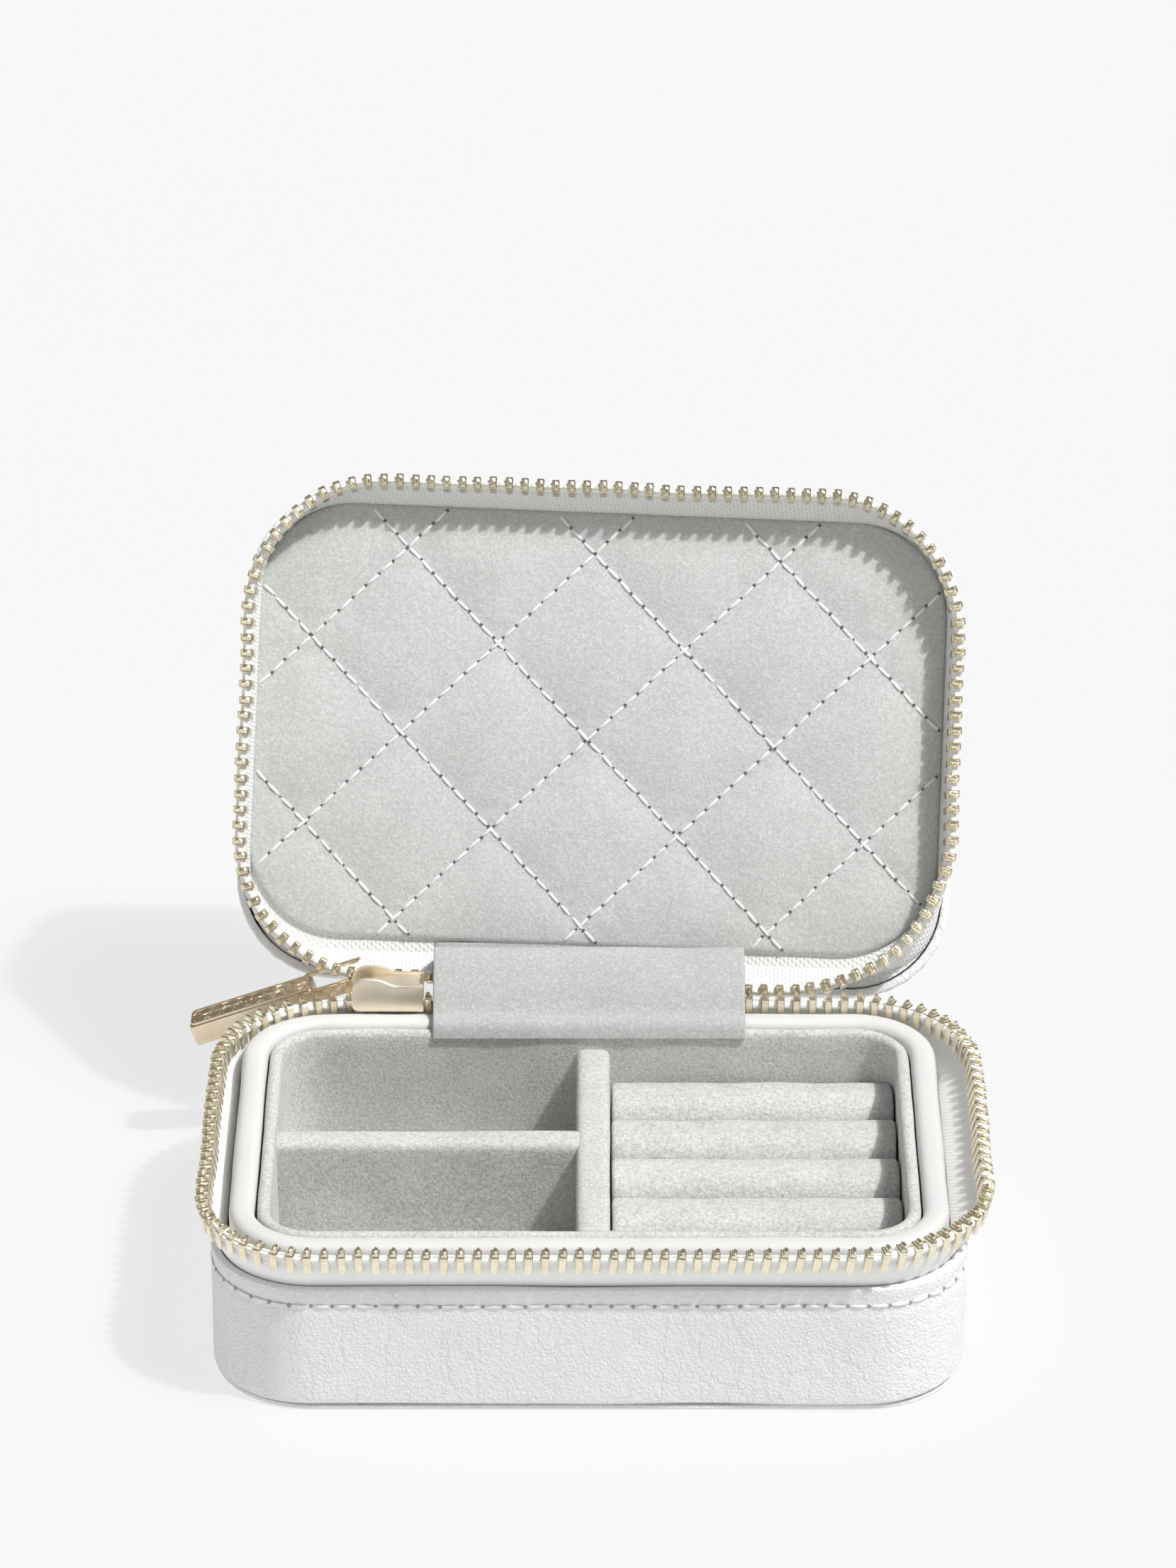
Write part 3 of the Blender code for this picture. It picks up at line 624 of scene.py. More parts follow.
# lines: [(points, leans, ring)] in the frame of the piece
# The shape stands with Z along the lean and X along the line
def repeatedMesh(name, lines, shapeMesh, finish, spacing, sizeJitter=0.0, turnJitter=0.0, seed=1):
    vertices, edges, leans = [], [], []
    for points, lean, ring in lines:
        start = len(vertices)
        vertices += [tuple(p) for p in points]
        leans += [tuple(l) for l in lean]
        edges += [(start + k, start + k + 1) for k in range(len(points) - 1)]
        if ring:
            edges.append((start + len(points) - 1, start))
    path = bpy.data.meshes.new(name + "Path")
    path.from_pydata(vertices, edges, [])
    path.attributes.new("lean", "FLOAT_VECTOR", "POINT").data.foreach_set("vector",
        np.array(leans, np.float32).ravel())
    host = bpy.data.objects.new(name + "Path", path)
    shape = bpy.data.objects.new(name + "Shape", shapeMesh)
    bpy.context.scene.collection.objects.link(host)
    bpy.context.scene.collection.objects.link(shape)
    step = host.modifiers.new("Repeat", "NODES")
    step.node_group = repeatTree
    values = {"Shape": shape, "Finish": finish, "Spacing": spacing, "Size Jitter": sizeJitter,
        "Turn Jitter": turnJitter, "Seed": seed}
    for socket in repeatTree.interface.items_tree:
        if socket.in_out == "INPUT" and socket.name in values:
            step[socket.identifier] = values[socket.name]
    graph = bpy.context.evaluated_depsgraph_get()
    mesh = bpy.data.meshes.new_from_object(host.evaluated_get(graph))
    host.modifiers.remove(step)
    bpy.data.objects.remove(host)
    bpy.data.objects.remove(shape)
    mesh.name = name
    return smoothed(mesh, 32)


# One metal tooth: two flat legs over the tape's edge, a shoulder and a rounded head
def toothMesh(size):
    parts = []
    w, leg, reach = size["width"] / 2, size["leg"], size["reach"]
    for side in (-1, 1):
        near, far = sorted((side * (reach - size["plate"]), side * reach))
        parts.append(roundedBlock("leg", (-w, near, 0), (w, far, leg + 0.3 * mm), 0.1 * mm, 1))
    shoulder = (w * 1.06, reach, leg + size["shoulder"])
    parts.append(roundedBlock("shoulder", (-shoulder[0], -reach, leg), shoulder, 0.16 * mm, 1))
    edit = bmesh.new()
    bmesh.ops.create_cube(edit, size=1)
    halfHead, wide, narrow = size["head"]
    for vertex in edit.verts:
        top = vertex.co.z > 0
        right = vertex.co.x > 0
        vertex.co.x = (halfHead if right else -halfHead) * (0.8 if top else 1)
        vertex.co.y *= narrow if top else wide
        vertex.co.z = leg + (size["headTops"][right] if top else size["headFoot"])
    parts.append(finishedMesh(edit, "head"))
    edit = bmesh.new()
    bmesh.ops.create_icosphere(edit, subdivisions=1, radius=1)
    for vertex in edit.verts:
        vertex.co = Vector(p * c + s for p, c, s in zip(size["knob"], vertex.co, size["knobPlace"]))
        vertex.co.z += leg
    parts.append(finishedMesh(edit, "knob"))
    return joined("tooth", parts)


# One stitch lying along X, its thread dipping into a needle hole at each end
def stitchMesh(length, width, rise, pitch):
    rows = []
    for k in range(8):
        angle = 2 * math.pi * k / 8
        row = []
        for t in np.linspace(-1, 1, 7):
            shrink = math.sqrt(max(0.06, 1 - t ** 4))
            lift = rise * (1 - 0.75 * t * t)
            row.append((t * length / 2, math.cos(angle) * width / 2 * shrink,
                lift + math.sin(angle) * width * 0.36 * shrink))
        rows.append(row)
    thread = gridMesh("thread", rows, ringAcross=True, capEnds=True)
    hole = bpy.data.meshes.new("hole")
    ring = [(pitch / 2 + math.cos(a) * width * 0.5, math.sin(a) * width * 0.56 + 0.05 * width,
        rise * 0.75) for a in np.linspace(0, 2 * math.pi, 8, endpoint=False)]
    sunk = [(x, y, rise * 0.75 - 0.2 * mm) for x, y, _ in ring]
    hole.from_pydata(ring + sunk, [], [tuple(range(8)), tuple(range(15, 7, -1))]
        + [(k, (k + 1) % 8, (k + 1) % 8 + 8, k + 8) for k in range(8)])
    turnOut(hole)
    for mesh, value in ((thread, 0.0), (hole, 1.0)):
        mesh.attributes.new("hole", "FLOAT", "POINT").data.foreach_set("value",
            [value] * len(mesh.vertices))
    for layer in list(thread.uv_layers):
        thread.uv_layers.remove(layer)
    return joined("stitch", [thread, hole])


# The seam groove and stitches below the wall's open edge, and how uneven the leather is
baseWall = {"edge": 0.45 * mm, "seamDrop": 3.0 * mm, "seamDip": 0.28 * mm, "stitch": 2.6 * mm,
            "pitch": 3.1 * mm, "thread": 0.56 * mm, "give": 0.22 * mm, "giveSize": 16 * mm}


# Wall profile as (inset, height), from its top edge down the outside
def wallProfile(low, high, seam):
    wrap, edge = caseShape["wrap"], baseWall["edge"]
    corners = [(wrap, high), (0, high), (0, low), (wrap, low)]
    line = densified(softProfile(corners, [edge, edge * 1.2, edge, edge]), 1.3 * mm)
    shaped = []
    for inset, height in line:
        groove = math.exp(-((height - seam) / (0.5 * mm)) ** 2)
        dip = baseWall["seamDip"] * groove if inset < 0.1 * mm else 0
        shaped.append((inset + dip, height))
    return shaped


def makeWall(name, low, high, seam, body, stands, lid=False, seed=1.0):
    mesh = gridMesh(name, caseSweep(wallProfile(low, high, seam)), ringAlong=True, ringAcross=True)
    handmade(mesh, baseWall["give"], baseWall["giveSize"], seed)
    wall = makePiece(name, mesh, outerLeather, body, stands, lid)
    points, out = caseRing()
    line = np.column_stack([points - out * (baseWall["seamDip"] + 0.02 * mm), np.full(len(points), seam)])
    # the thread follows the same uneven give as the wall
    offset = Vector((seed * 3.1, seed * 1.7, seed * 2.3))
    for k in range(len(line)):
        spot = Vector((points[k][0], points[k][1], seam))
        shift = baseWall["give"] * noise.noise(spot / baseWall["giveSize"] + offset)
        line[k][:2] += out[k] * shift
    leans = np.column_stack([out, np.zeros(len(out))])
    shape = stitchMesh(baseWall["stitch"], baseWall["thread"], 0.22 * mm, baseWall["pitch"])
    stitches = repeatedMesh(name + "Stitches", [(line, leans, True)], shape, seamThread, baseWall["pitch"],
        0.05, 0.05, int(seed * 7))
    makePiece(name + "Stitches", stitches, seamThread, body, (), lid)
    return wall


makeWall("baseWall", wallLow.z, wallHigh.z, wallHigh.z - baseWall["seamDrop"], "base", ("base_wall_wrap",))


def makePanel(name, node, low, high, body, lid=False):
    inset = halfWidth - high.x
    edge = 0.3 * mm
    line = [(inset + 2 * mm, low.z), (inset + edge, low.z), (inset + 0.08 * mm, low.z + 0.1 * mm),
            (inset, low.z + edge), (inset, high.z - edge),
            (inset + 0.08 * mm, high.z - 0.1 * mm), (inset + edge, high.z), (inset + 2 * mm, high.z)]
    mesh = gridMesh(name, caseSweep(line), ringAlong=True, capSides=True)
    return makePiece(name, mesh, outerLeather, body, (node,), lid)


makePanel("bottomPanel", "bottom_panel", *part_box("bottom_panel"), "base")
print("base walls ready")


# The padded rim and the velvet lining inside it
collar = {"inset": 2.7 * mm, "width": 3.8 * mm, "skirt": 1.5 * mm, "top": 1.7 * mm, "give": 0.16 * mm}
liner = {"wall": 1.9 * mm, "fillet": 1.2 * mm, "floor": 1.2 * mm}


def makeTray():
    lipLow = collarHigh.z - 5.7 * mm
    inner = collar["inset"] + collar["width"]
    corners = [(collar["inset"], lipLow), (collar["inset"], collarHigh.z), (inner, collarHigh.z),
        (inner, collarLow.z),
               (collar["inset"] + collar["skirt"], collarLow.z),
               (collar["inset"] + collar["skirt"], lipLow)]
    line = densified(softProfile(corners, [0.3 * mm, collar["top"], collar["top"], 0.3 * mm, 0.3 * mm,
        0.2 * mm], 7), 1.6 * mm)
    mesh = gridMesh("rimCollar", caseSweep(line), ringAlong=True, ringAcross=True)
    handmade(mesh, collar["give"], 13 * mm, 4.0)
    makePiece("rimCollar", mesh, rimLeather, "base", ("inner_collar",))

    outer = halfWidth - linerHigh.x
    inside = outer + liner["wall"]
    floor = linerLow.z + liner["floor"]
    half = liner["wall"] / 2
    line = [(outer + 6 * mm, linerLow.z), (outer + 0.4 * mm, linerLow.z), (outer, linerLow.z + 0.4 * mm)]
    line += [(outer, linerLow.z + k * 3 * mm) for k in range(1, 7)] + [(outer, linerHigh.z - half)]
    line += [(outer + half - half * math.cos(a),
        linerHigh.z - half + half * math.sin(a)) for a in np.radians([30, 60, 90, 120, 150])]
    line += [(inside, z) for z in np.linspace(linerHigh.z - half, floor + liner["fillet"], 12)]
    line += [(inside + liner["fillet"] * (1 - math.cos(a)),
        floor + liner["fillet"] * (1 - math.sin(a))) for a in np.radians([30, 60, 90])]
    line += [(inside + 4 * mm, floor)]
    mesh = gridMesh("velvetTray", caseSweep(line), ringAlong=True, capSides=True)
    handmade(mesh, 0.14 * mm, 9 * mm, 6.0)
    makePiece("velvetTray", mesh, trayVelvet, "base", ("velvet_liner",))


def makeDividers():
    for name, node, axis in (("longDivider", "long_divider", "Y"), ("crossDivider", "cross_divider", "X")):
        low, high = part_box(node)
        side, along = (0, 1) if axis == "Y" else (1, 0)
        corners = [(low[side], low.z), (low[side], high.z), (high[side], high.z), (high[side], low.z)]
        line = densified(softProfile(corners, [0.2 * mm, 1.5 * mm, 1.5 * mm, 0.2 * mm], 6), 1.5 * mm)
        mesh = softBar(name, line, low[along] - 0.7 * mm, high[along] + 0.7 * mm, axis, 40, 0.5 * mm)
        handmade(mesh, 0.14 * mm, 8 * mm, 2.0 + side)
        makePiece(name, mesh, trayVelvet, "base", (node,))


# Keeps a roll's end inside the tray's round corner
def fitCorner(mesh, inset):
    radius = caseShape["corner"] - inset
    cornerX, cornerY = halfWidth - caseShape["corner"], halfDepth - caseShape["corner"]
    for vertex in mesh.vertices:
        dx, dy = vertex.co.x - cornerX, abs(vertex.co.y) - cornerY
        if dx > 0 and dy > 0 and math.hypot(dx, dy) > radius:
            vertex.co.x = cornerX + math.sqrt(max(0.0, radius ** 2 - min(dy, radius) ** 2))
    mesh.update()


def makeRolls():
    for number in range(1, 6):
        node = f"ring_roll_{number}"
        low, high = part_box(node)
        middle, half = (low.y + high.y) / 2, (high.y - low.y) / 2
        line = []
        for angle in np.radians(np.linspace(0, 180, 23)):
            c, s = math.cos(angle), math.sin(angle)
            line.append((middle - half * math.copysign(abs(c) ** 0.72, c),
                low.z + (high.z - low.z) * s ** 0.72))
        line = densified(line, 1.5 * mm)
        name = f"ringRoll{number}"
        mesh = softBar(name, line, low.x, high.x, "X", 36, 0.7 * mm)
        handmade(mesh, 0.16 * mm, 7 * mm, 10.0 + number)
        fitCorner(mesh, halfWidth - high.x)
        makePiece(name, mesh, trayVelvet, "base", (node,))


makeTray()
makeDividers()
makeRolls()
print("tray ready")


# Each half of the zip: woven tape, a cord along its edge and metal teeth
teethShape = {"width": 1.12 * mm, "leg": 2.3 * mm, "reach": 1.02 * mm, "plate": 0.34 * mm,
              "shoulder": 0.75 * mm,
              "head": (0.46 * mm, 1.75 * mm, 1.2 * mm), "headTops": (1.25 * mm, 0.95 * mm),
              "headFoot": 0.6 * mm,
              "knob": (0.4 * mm, 0.72 * mm, 0.4 * mm), "knobPlace": (-0.08 * mm, 0, 1.28 * mm)}
zipLook = {"pitch": 2.4 * mm, "tape": 0.7 * mm, "bead": 0.71 * mm, "sewn": 5.5 * mm, "count": 420,
           "end": 22 * mm}
baseTeethLow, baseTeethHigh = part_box("zip_teeth_base")
lidTeethLow, lidTeethHigh = shutBox("zip_teeth_lid")


# One line of the zip: share 0 where the leather holds the tape, 1 along the teeth
def zipLine(share, sewnInset, ringBox, corners, trim):
    start = caseShape["corner"] - sewnInset
    sewnBox = (sewnInset - halfWidth, halfWidth - sewnInset, sewnInset - halfDepth, halfDepth - sewnInset)
    edges = [a + (b - a) * share for a, b in zip(sewnBox, ringBox)]
    radii = [start + (corner - start) * min(share, 1.2) for corner in corners]
    return sampleLine(planLoop(*edges, radii), zipLook["count"], trim)


def makeZipHalf(body, tapeRows, ringBox, corners, toothFoot, seed, rearSlant=0.0):
    lid = body == "lid"
    sewn = caseShape["wrap"] + 0.3 * mm + zipLook["tape"] / 2
    trim = (zipLook["end"], zipLook["end"])
    rows, inner = [], []
    for share, height in tapeRows:
        points = zipLine(share, sewn, ringBox, corners, trim)
        out = outward(points, False)
        sway = np.array([noise.noise(Vector((p[0], p[1], height)) / (11 * mm)
            + Vector((seed, 0, 0))) for p in points])
        points = points + out * (sway * 0.35 * mm * min(share, 1.0))[:, None]
        nearRear = np.clip((points[:, 1] - 0.75 * halfDepth) / (0.2 * halfDepth), 0, 1) ** 2
        points[:, 1] -= nearRear * rearSlant * max(0.0, 1 - share)
        lift = np.full(len(points), height) + sway * 0.25 * mm * min(share, 1.0)
        half = out * zipLook["tape"] / 2 * (0.55 if share > 1 else 1)
        rows.append(np.column_stack([points + half, lift]))
        inner.append(np.column_stack([points - half, lift]))
    mesh = gridMesh(body + "Tape", rows + inner[::-1], ringAcross=True, capEnds=True)
    # The lid's tape takes the darker copy of the tape, painted shade
    tapePiece = makePiece(body + "Tape", mesh, shadedTape if lid else wovenTape, body,
        ("zip_tape_" + body,), lid)

    foot = (rows[-2] + inner[-2]) / 2
    tip = (rows[-1] + inner[-1]) / 2
    leans = tip - foot
    leans /= np.linalg.norm(leans, axis=1)[:, None]
    line = foot + leans * ((toothFoot - foot[:, 2]) / leans[:, 2])[:, None]
    # bead along the tape's edge, just under the heads
    beadLine = line + leans * (teethShape["leg"] - 0.55 * mm)
    out3 = np.column_stack([outward(beadLine, False), np.zeros(len(beadLine))])
    beadRows = []
    for k in range(10):
        angle = 2 * math.pi * k / 10
        beadRows.append(beadLine + (out3 * math.cos(angle) + leans * math.sin(angle)) * zipLook["bead"])
    bead = gridMesh(body + "Bead", beadRows, ringAcross=True, capEnds=True)
    beadPiece = makePiece(body + "Bead", bead, beadCord, body, (), lid)

    teeth = repeatedMesh(body + "Teeth", [(line, leans, False)], toothMesh(teethShape), chainGold,
        zipLook["pitch"], 0.015, 0.03, int(seed))
    makePiece(body + "Teeth", teeth, chainGold, body, ("zip_teeth_" + body,), lid)


# Where each tape runs: (share of the way to the teeth, height)
ringHalf = 1.1 * mm
wallTop, wallFoot = wallHigh.z, lidWallLow.z
baseZip = {
    "rows": [(0, wallTop - zipLook["sewn"]), (0, wallTop - 0.6 * mm), (0.32, wallTop + 0.9 * mm),
             (0.68, wallTop + 2.0 * mm), (1.0, baseTeethLow.z - 0.3 * mm),
             (1.22, baseTeethHigh.z - 1.3 * mm)],
    "ring": (baseTeethLow.x + ringHalf + 1.4 * mm, baseTeethHigh.x - ringHalf + 0.3 * mm,
             baseTeethLow.y + ringHalf - 0.1 * mm, baseTeethHigh.y - ringHalf),
    "corners": (18 * mm, 20 * mm, 16.5 * mm, 18 * mm)}
lidZip = {
    "rows": [(0, wallFoot + 4.8 * mm), (0, wallFoot + 0.6 * mm), (0.35, wallFoot - 0.9 * mm),
             (0.7, wallFoot - 2.0 * mm), (1.0, lidTeethHigh.z + 0.3 * mm),
             (1.12, lidTeethLow.z + 1.3 * mm)],
    "ring": (lidTeethLow.x + ringHalf, lidTeethHigh.x - ringHalf,
             lidTeethLow.y + ringHalf, lidTeethHigh.y - ringHalf + 0.8 * mm),
    "corners": (24 * mm, 20 * mm, 20 * mm, 20 * mm), "rearSlant": 2.2 * mm}
makeZipHalf("base", baseZip["rows"], baseZip["ring"], baseZip["corners"], baseTeethLow.z, 3.0)
makeZipHalf("lid", lidZip["rows"], lidZip["ring"], lidZip["corners"], lidTeethHigh.z, 5.0,
    lidZip["rearSlant"])
print("zip ready")


makeWall("lidWall", lidWallLow.z, lidWallHigh.z, lidWallLow.z + baseWall["seamDrop"], "lid",
    ("lid_wall_wrap",), True, 2.0)
makePanel("lidPanel", "lid_top_panel", *shutBox("lid_top_panel"), "lid", True)


# The tape's inner edge, sewn flat round the pad
def makeFlange():
    level = shutBox("lid_rear_facing")[0].z + 0.9 * mm
    line = [(1.5 * mm, level + 0.3 * mm), (3.2 * mm, level), (6.0 * mm, level + 0.05 * mm),
        (11.8 * mm, level + 0.3 * mm),
            (11.8 * mm, level + 0.6 * mm), (1.5 * mm, level + 0.6 * mm)]
    mesh = gridMesh("tapeFlange", caseSweep(line), ringAlong=True, ringAcross=True)
    handmade(mesh, 0.12 * mm, 7 * mm, 13.0)
    # The flange takes the darker copy of the tape, painted shade
    piece = makePiece("tapeFlange", mesh, shadedTape, "lid", (), True)


def makeRearFacing():
    low, high = shutBox("lid_rear_facing")
    top, rear = low.z + 1.4 * mm, high.y - 1.5 * mm
    corners = [(low.y, top), (low.y, high.z), (rear, high.z), (rear, top + 0.3 * mm)]
    line = densified(softProfile(corners, [0.6 * mm, 0.3 * mm, 0.3 * mm, 0.6 * mm], 5), 1.0 * mm)
    mesh = softBar("rearFacing", line, low.x, high.x, "X", 50, 0.4 * mm)
    handmade(mesh, 0.12 * mm, 9 * mm, 8.0)
    makePiece("rearFacing", mesh, rimLeather, "lid", ("lid_rear_facing",), True)


makeFlange()
makeRearFacing()
print("lid shell ready")


# A padded panel sewn in a diagonal lattice
quilt = {
    "centre": (-1.8 * mm, -0.5 * mm), "cell": 28.8 * mm, "grid": 0.9 * mm, "corner": 15 * mm,
    "rim": 1.0 * mm, "reach": (1.1, 0.5, 0.9, 0.2),
    "valley": 0.75 * mm, "puff": 0.85 * mm, "pressure": 4.0, "scale": 20.0, "frames": 20,
    "stitch": 2.3 * mm, "pitch": 2.7 * mm, "thread": 0.46 * mm,
}


def insideRound(x, y, box, corner):
    left, right, front, rear = box
    dx = max(left + corner - x, x - right + corner, 0)
    dy = max(front + corner - y, y - rear + corner, 0)
    return math.hypot(dx, dy) <= corner and left <= x <= right and front <= y <= rear


# Sums and differences of the two places, in cells: whole numbers lie on a sewn line
def latticePlace(x, y):
    x, y = x - quilt["centre"][0], y - quilt["centre"][1]
    return (x + y) / quilt["cell"], (x - y) / quilt["cell"]


def makeQuiltMesh():
    low, high = shutBox("quilted_pad")
    corner, rim = quilt["corner"], quilt["rim"]
    # how far the soft edge goes past the board
    left, right, front, rear = (part * mm for part in quilt["reach"])
    box = (low.x - left + rim, high.x + right - rim, low.y - front + rim, high.y + rear - rim)
    loop = sampleLine(planLoop(*box, [corner - rim] * 4), 361)[:-1]
    step = quilt["grid"]
    spots = [Vector(p) for p in loop]
    inner = (box[0] + 0.5 * step, box[1] - 0.5 * step, box[2] + 0.5 * step, box[3] - 0.5 * step)
    for i in range(-70, 71):
        for j in range(-50, 51):
            x, y = quilt["centre"][0] + i * step, quilt["centre"][1] + j * step
            if insideRound(x, y, inner, corner - rim):
                spots.append(Vector((x, y)))
    ring = list(range(len(loop)))
    rimEdges = [(k, (k + 1) % len(loop)) for k in ring]
    flat, _, faces, *_ = geometry.delaunay_2d_cdt(spots, rimEdges, [], 1, 1e-7)
    vertices = [(p.x, p.y, 0.0) for p in flat]
    faces = [tuple(f) for f in faces]
    # rim: a quarter turn out to the edge, then straight back
    out = outward(loop, True)
    levels = [(rim * math.sin(a), -rim * (1 - math.cos(a))) for a in np.radians([30, 60, 90])]
    levels += [(rim, -rim - 1.2 * mm), (rim - 0.2 * mm, low.z - high.z + 0.3 * mm)]
    before = ring
    for reach, drop in levels:
        start = len(vertices)
        vertices += [(p[0] + o[0] * reach, p[1] + o[1] * reach, drop) for p, o in zip(loop, out)]
        now = [start + k for k in ring]
        faces += [(before[k], before[(k + 1) % len(ring)], now[(k + 1) % len(ring)], now[k]) for k in ring]
        before = now
    faces.append(tuple(before))
    mesh = bpy.data.meshes.new("quiltPad")
    mesh.from_pydata(vertices, [], faces)
    turnOut(mesh)
    return mesh, box, corner - rim, len(flat), low


def holdQuiltLines(mesh, count):
    pinned = []
    for index, vertex in enumerate(mesh.vertices):
        a, b = latticePlace(vertex.co.x, vertex.co.y)
        near = min(abs(a - round(a)), abs(b - round(b))) * quilt["cell"] < 0.05 * mm
        if index >= count or index < 360 or near:
            pinned.append(index)
    return pinned


def makeQuilt():
    mesh, box, corner, count, low = makeQuiltMesh()
    rest = np.array([v.co for v in mesh.vertices])
    pinned = holdQuiltLines(mesh, count)
    big = mesh.copy()
    big.transform(Matrix.Scale(quilt["scale"], 4))
    cloth = bpy.data.objects.new("quiltCloth", big)
    bpy.context.scene.collection.objects.link(cloth)
    group = cloth.vertex_groups.new(name="sewn")
    group.add(pinned, 1.0, "REPLACE")
    step = cloth.modifiers.new("Cloth", "CLOTH")
    step.settings.quality = 6
    step.settings.mass = 0.3
    step.settings.tension_stiffness = 12
    step.settings.compression_stiffness = 12
    step.settings.bending_stiffness = 0.6
    step.settings.shrink_min = -0.008
    step.settings.use_pressure = True
    step.settings.uniform_pressure_force = quilt["pressure"]
    step.settings.effector_weights.gravity = 0
    step.settings.vertex_group_mass = "sewn"
    for number in range(1, quilt["frames"] + 1):
        bpy.context.scene.frame_set(number)
    graph = bpy.context.evaluated_depsgraph_get()
    shown = cloth.evaluated_get(graph)
    after = np.array([v.co for v in shown.data.vertices]) / quilt["scale"]
    shift = after - rest
    cloth.modifiers.remove(step)
    bpy.data.objects.remove(cloth)
    bpy.context.scene.frame_set(1)
    lifted = np.percentile(shift[:count, 2], 92)
    print("quilt cloth lifted", round(lifted / mm, 2), "mm")
    shift *= quilt["puff"] / max(lifted, 0.05 * mm)
    most = 1.25 * quilt["puff"]
    long = np.linalg.norm(shift, axis=1)
    shift *= np.minimum(1, most / np.maximum(long, 1e-9))[:, None]
    for vertex, move in zip(mesh.vertices, shift):
        vertex.co += Vector(move)
    # the face looks down in the shut place
    face = low.z + quilt["valley"]
    for vertex in mesh.vertices:
        vertex.co.z = face - vertex.co.z
    turnOut(mesh)
    smoothed(mesh, 60)
    pad = makePiece("quiltPad", mesh, quiltVelvet, "lid", ("quilted_pad",), True)

    lines = []
    left, right, front, rear = box
    margin = 0.6 * mm
    inner = (left + margin, right - margin, front + margin, rear - margin)
    for kind in (1, -1):
        for number in range(-6, 7):
            run = []
            for s in np.arange(-90 * mm, 90 * mm, 0.3 * mm):
                x = quilt["centre"][0] + s
                y = quilt["centre"][1] + (number * quilt["cell"] - s) * kind
                if insideRound(x, y, inner, corner):
                    run.append((x, y, face - 0.02 * mm))
            if len(run) * 0.3 * mm * math.sqrt(2) > 6 * mm:
                run = np.array(run)
                lines.append((run, np.tile([0.0, 0.0, -1.0], (len(run), 1)), False))
    shape = stitchMesh(quilt["stitch"], quilt["thread"], 0.14 * mm, quilt["pitch"])
    stitches = repeatedMesh("quiltStitches", lines, shape, quiltThread, quilt["pitch"], 0.08, 0.08, 21)
    makePiece("quiltStitches", stitches, quiltThread, "lid", (), True)


makeQuilt()
print("quilt ready")


# The soft hinge: velvet flap inside, leather spine outside
# Each (y, z) of the flap is measured from the part that it passes there
flap = {"thick": 1.0 * mm, "edge": 0.35 * mm, "give": 0.18 * mm, "above": 0.75 * mm,
        "hem": (0.4 * mm, -0.9 * mm), "bend": (1.3 * mm, -0.25 * mm), "rim": (-5.6 * mm, 0.3 * mm),
        "rise": (-2.4 * mm, 2.5 * mm), "crest": (3.2 * mm, 4.9 * mm), "face": (2.4 * mm, 1.1 * mm),
        "tuck": (-0.5 * mm, 1.8 * mm)}
spineLook = {"thick": 1.0 * mm, "edge": 0.3 * mm, "give": 0.12 * mm, "foot": 0.3 * mm, "least": 10 * mm,
             "bends": ((0.4 * mm, 3.2 * mm), (3.6 * mm, 4.8 * mm))}


# Even line through points, on a Catmull-Rom curve
def smoothRun(points, count):
    points = [Vector(p) for p in points]
    line = []
    for k in range(len(points) - 1):
        before, start = points[max(k - 1, 0)], points[k]
        end, after = points[k + 1], points[min(k + 2, len(points) - 1)]
        for step in range(12):
            t = step / 12
            line.append(0.5 * (2 * start + (end - before) * t
                + (2 * before - 5 * start + 4 * end - after) * t * t
                + (3 * start - before - 3 * end + after) * t ** 3))
    line.append(points[-1])
    return sampleLine(np.array([tuple(p) for p in line]), count)


# A strip of even thickness along a line in Y and Z, from one X to the other
def bentStrip(name, line, left, right, look, seed):
    thick, edge, wave = look["thick"], look["edge"], look["give"]
    ahead = np.gradient(line, axis=0)
    ahead /= np.linalg.norm(ahead, axis=1)[:, None]
    side = np.stack([-ahead[:, 1], ahead[:, 0]], 1)
    corners = [(left, -thick / 2), (left, thick / 2), (right, thick / 2), (right, -thick / 2)]
    profile = densified(softProfile(corners, [edge] * 4, 4), 1.6 * mm)
    rows = []
    for x, offset in profile:
        row = []
        for point, normal in zip(line, side):
            lift = noise.noise(Vector((x, point[0], point[1])) / (12 * mm) + Vector((seed, 0, 0))) * wave
            row.append((x, point[0] + normal[0] * (offset + lift), point[1] + normal[1] * (offset + lift)))
        rows.append(row)
    return gridMesh(name, rows, ringAcross=True, capEnds=True)


def openedPoint(y, z):
    spot = lidOpen @ Vector((0, y, z))
    return spot.y, spot.z


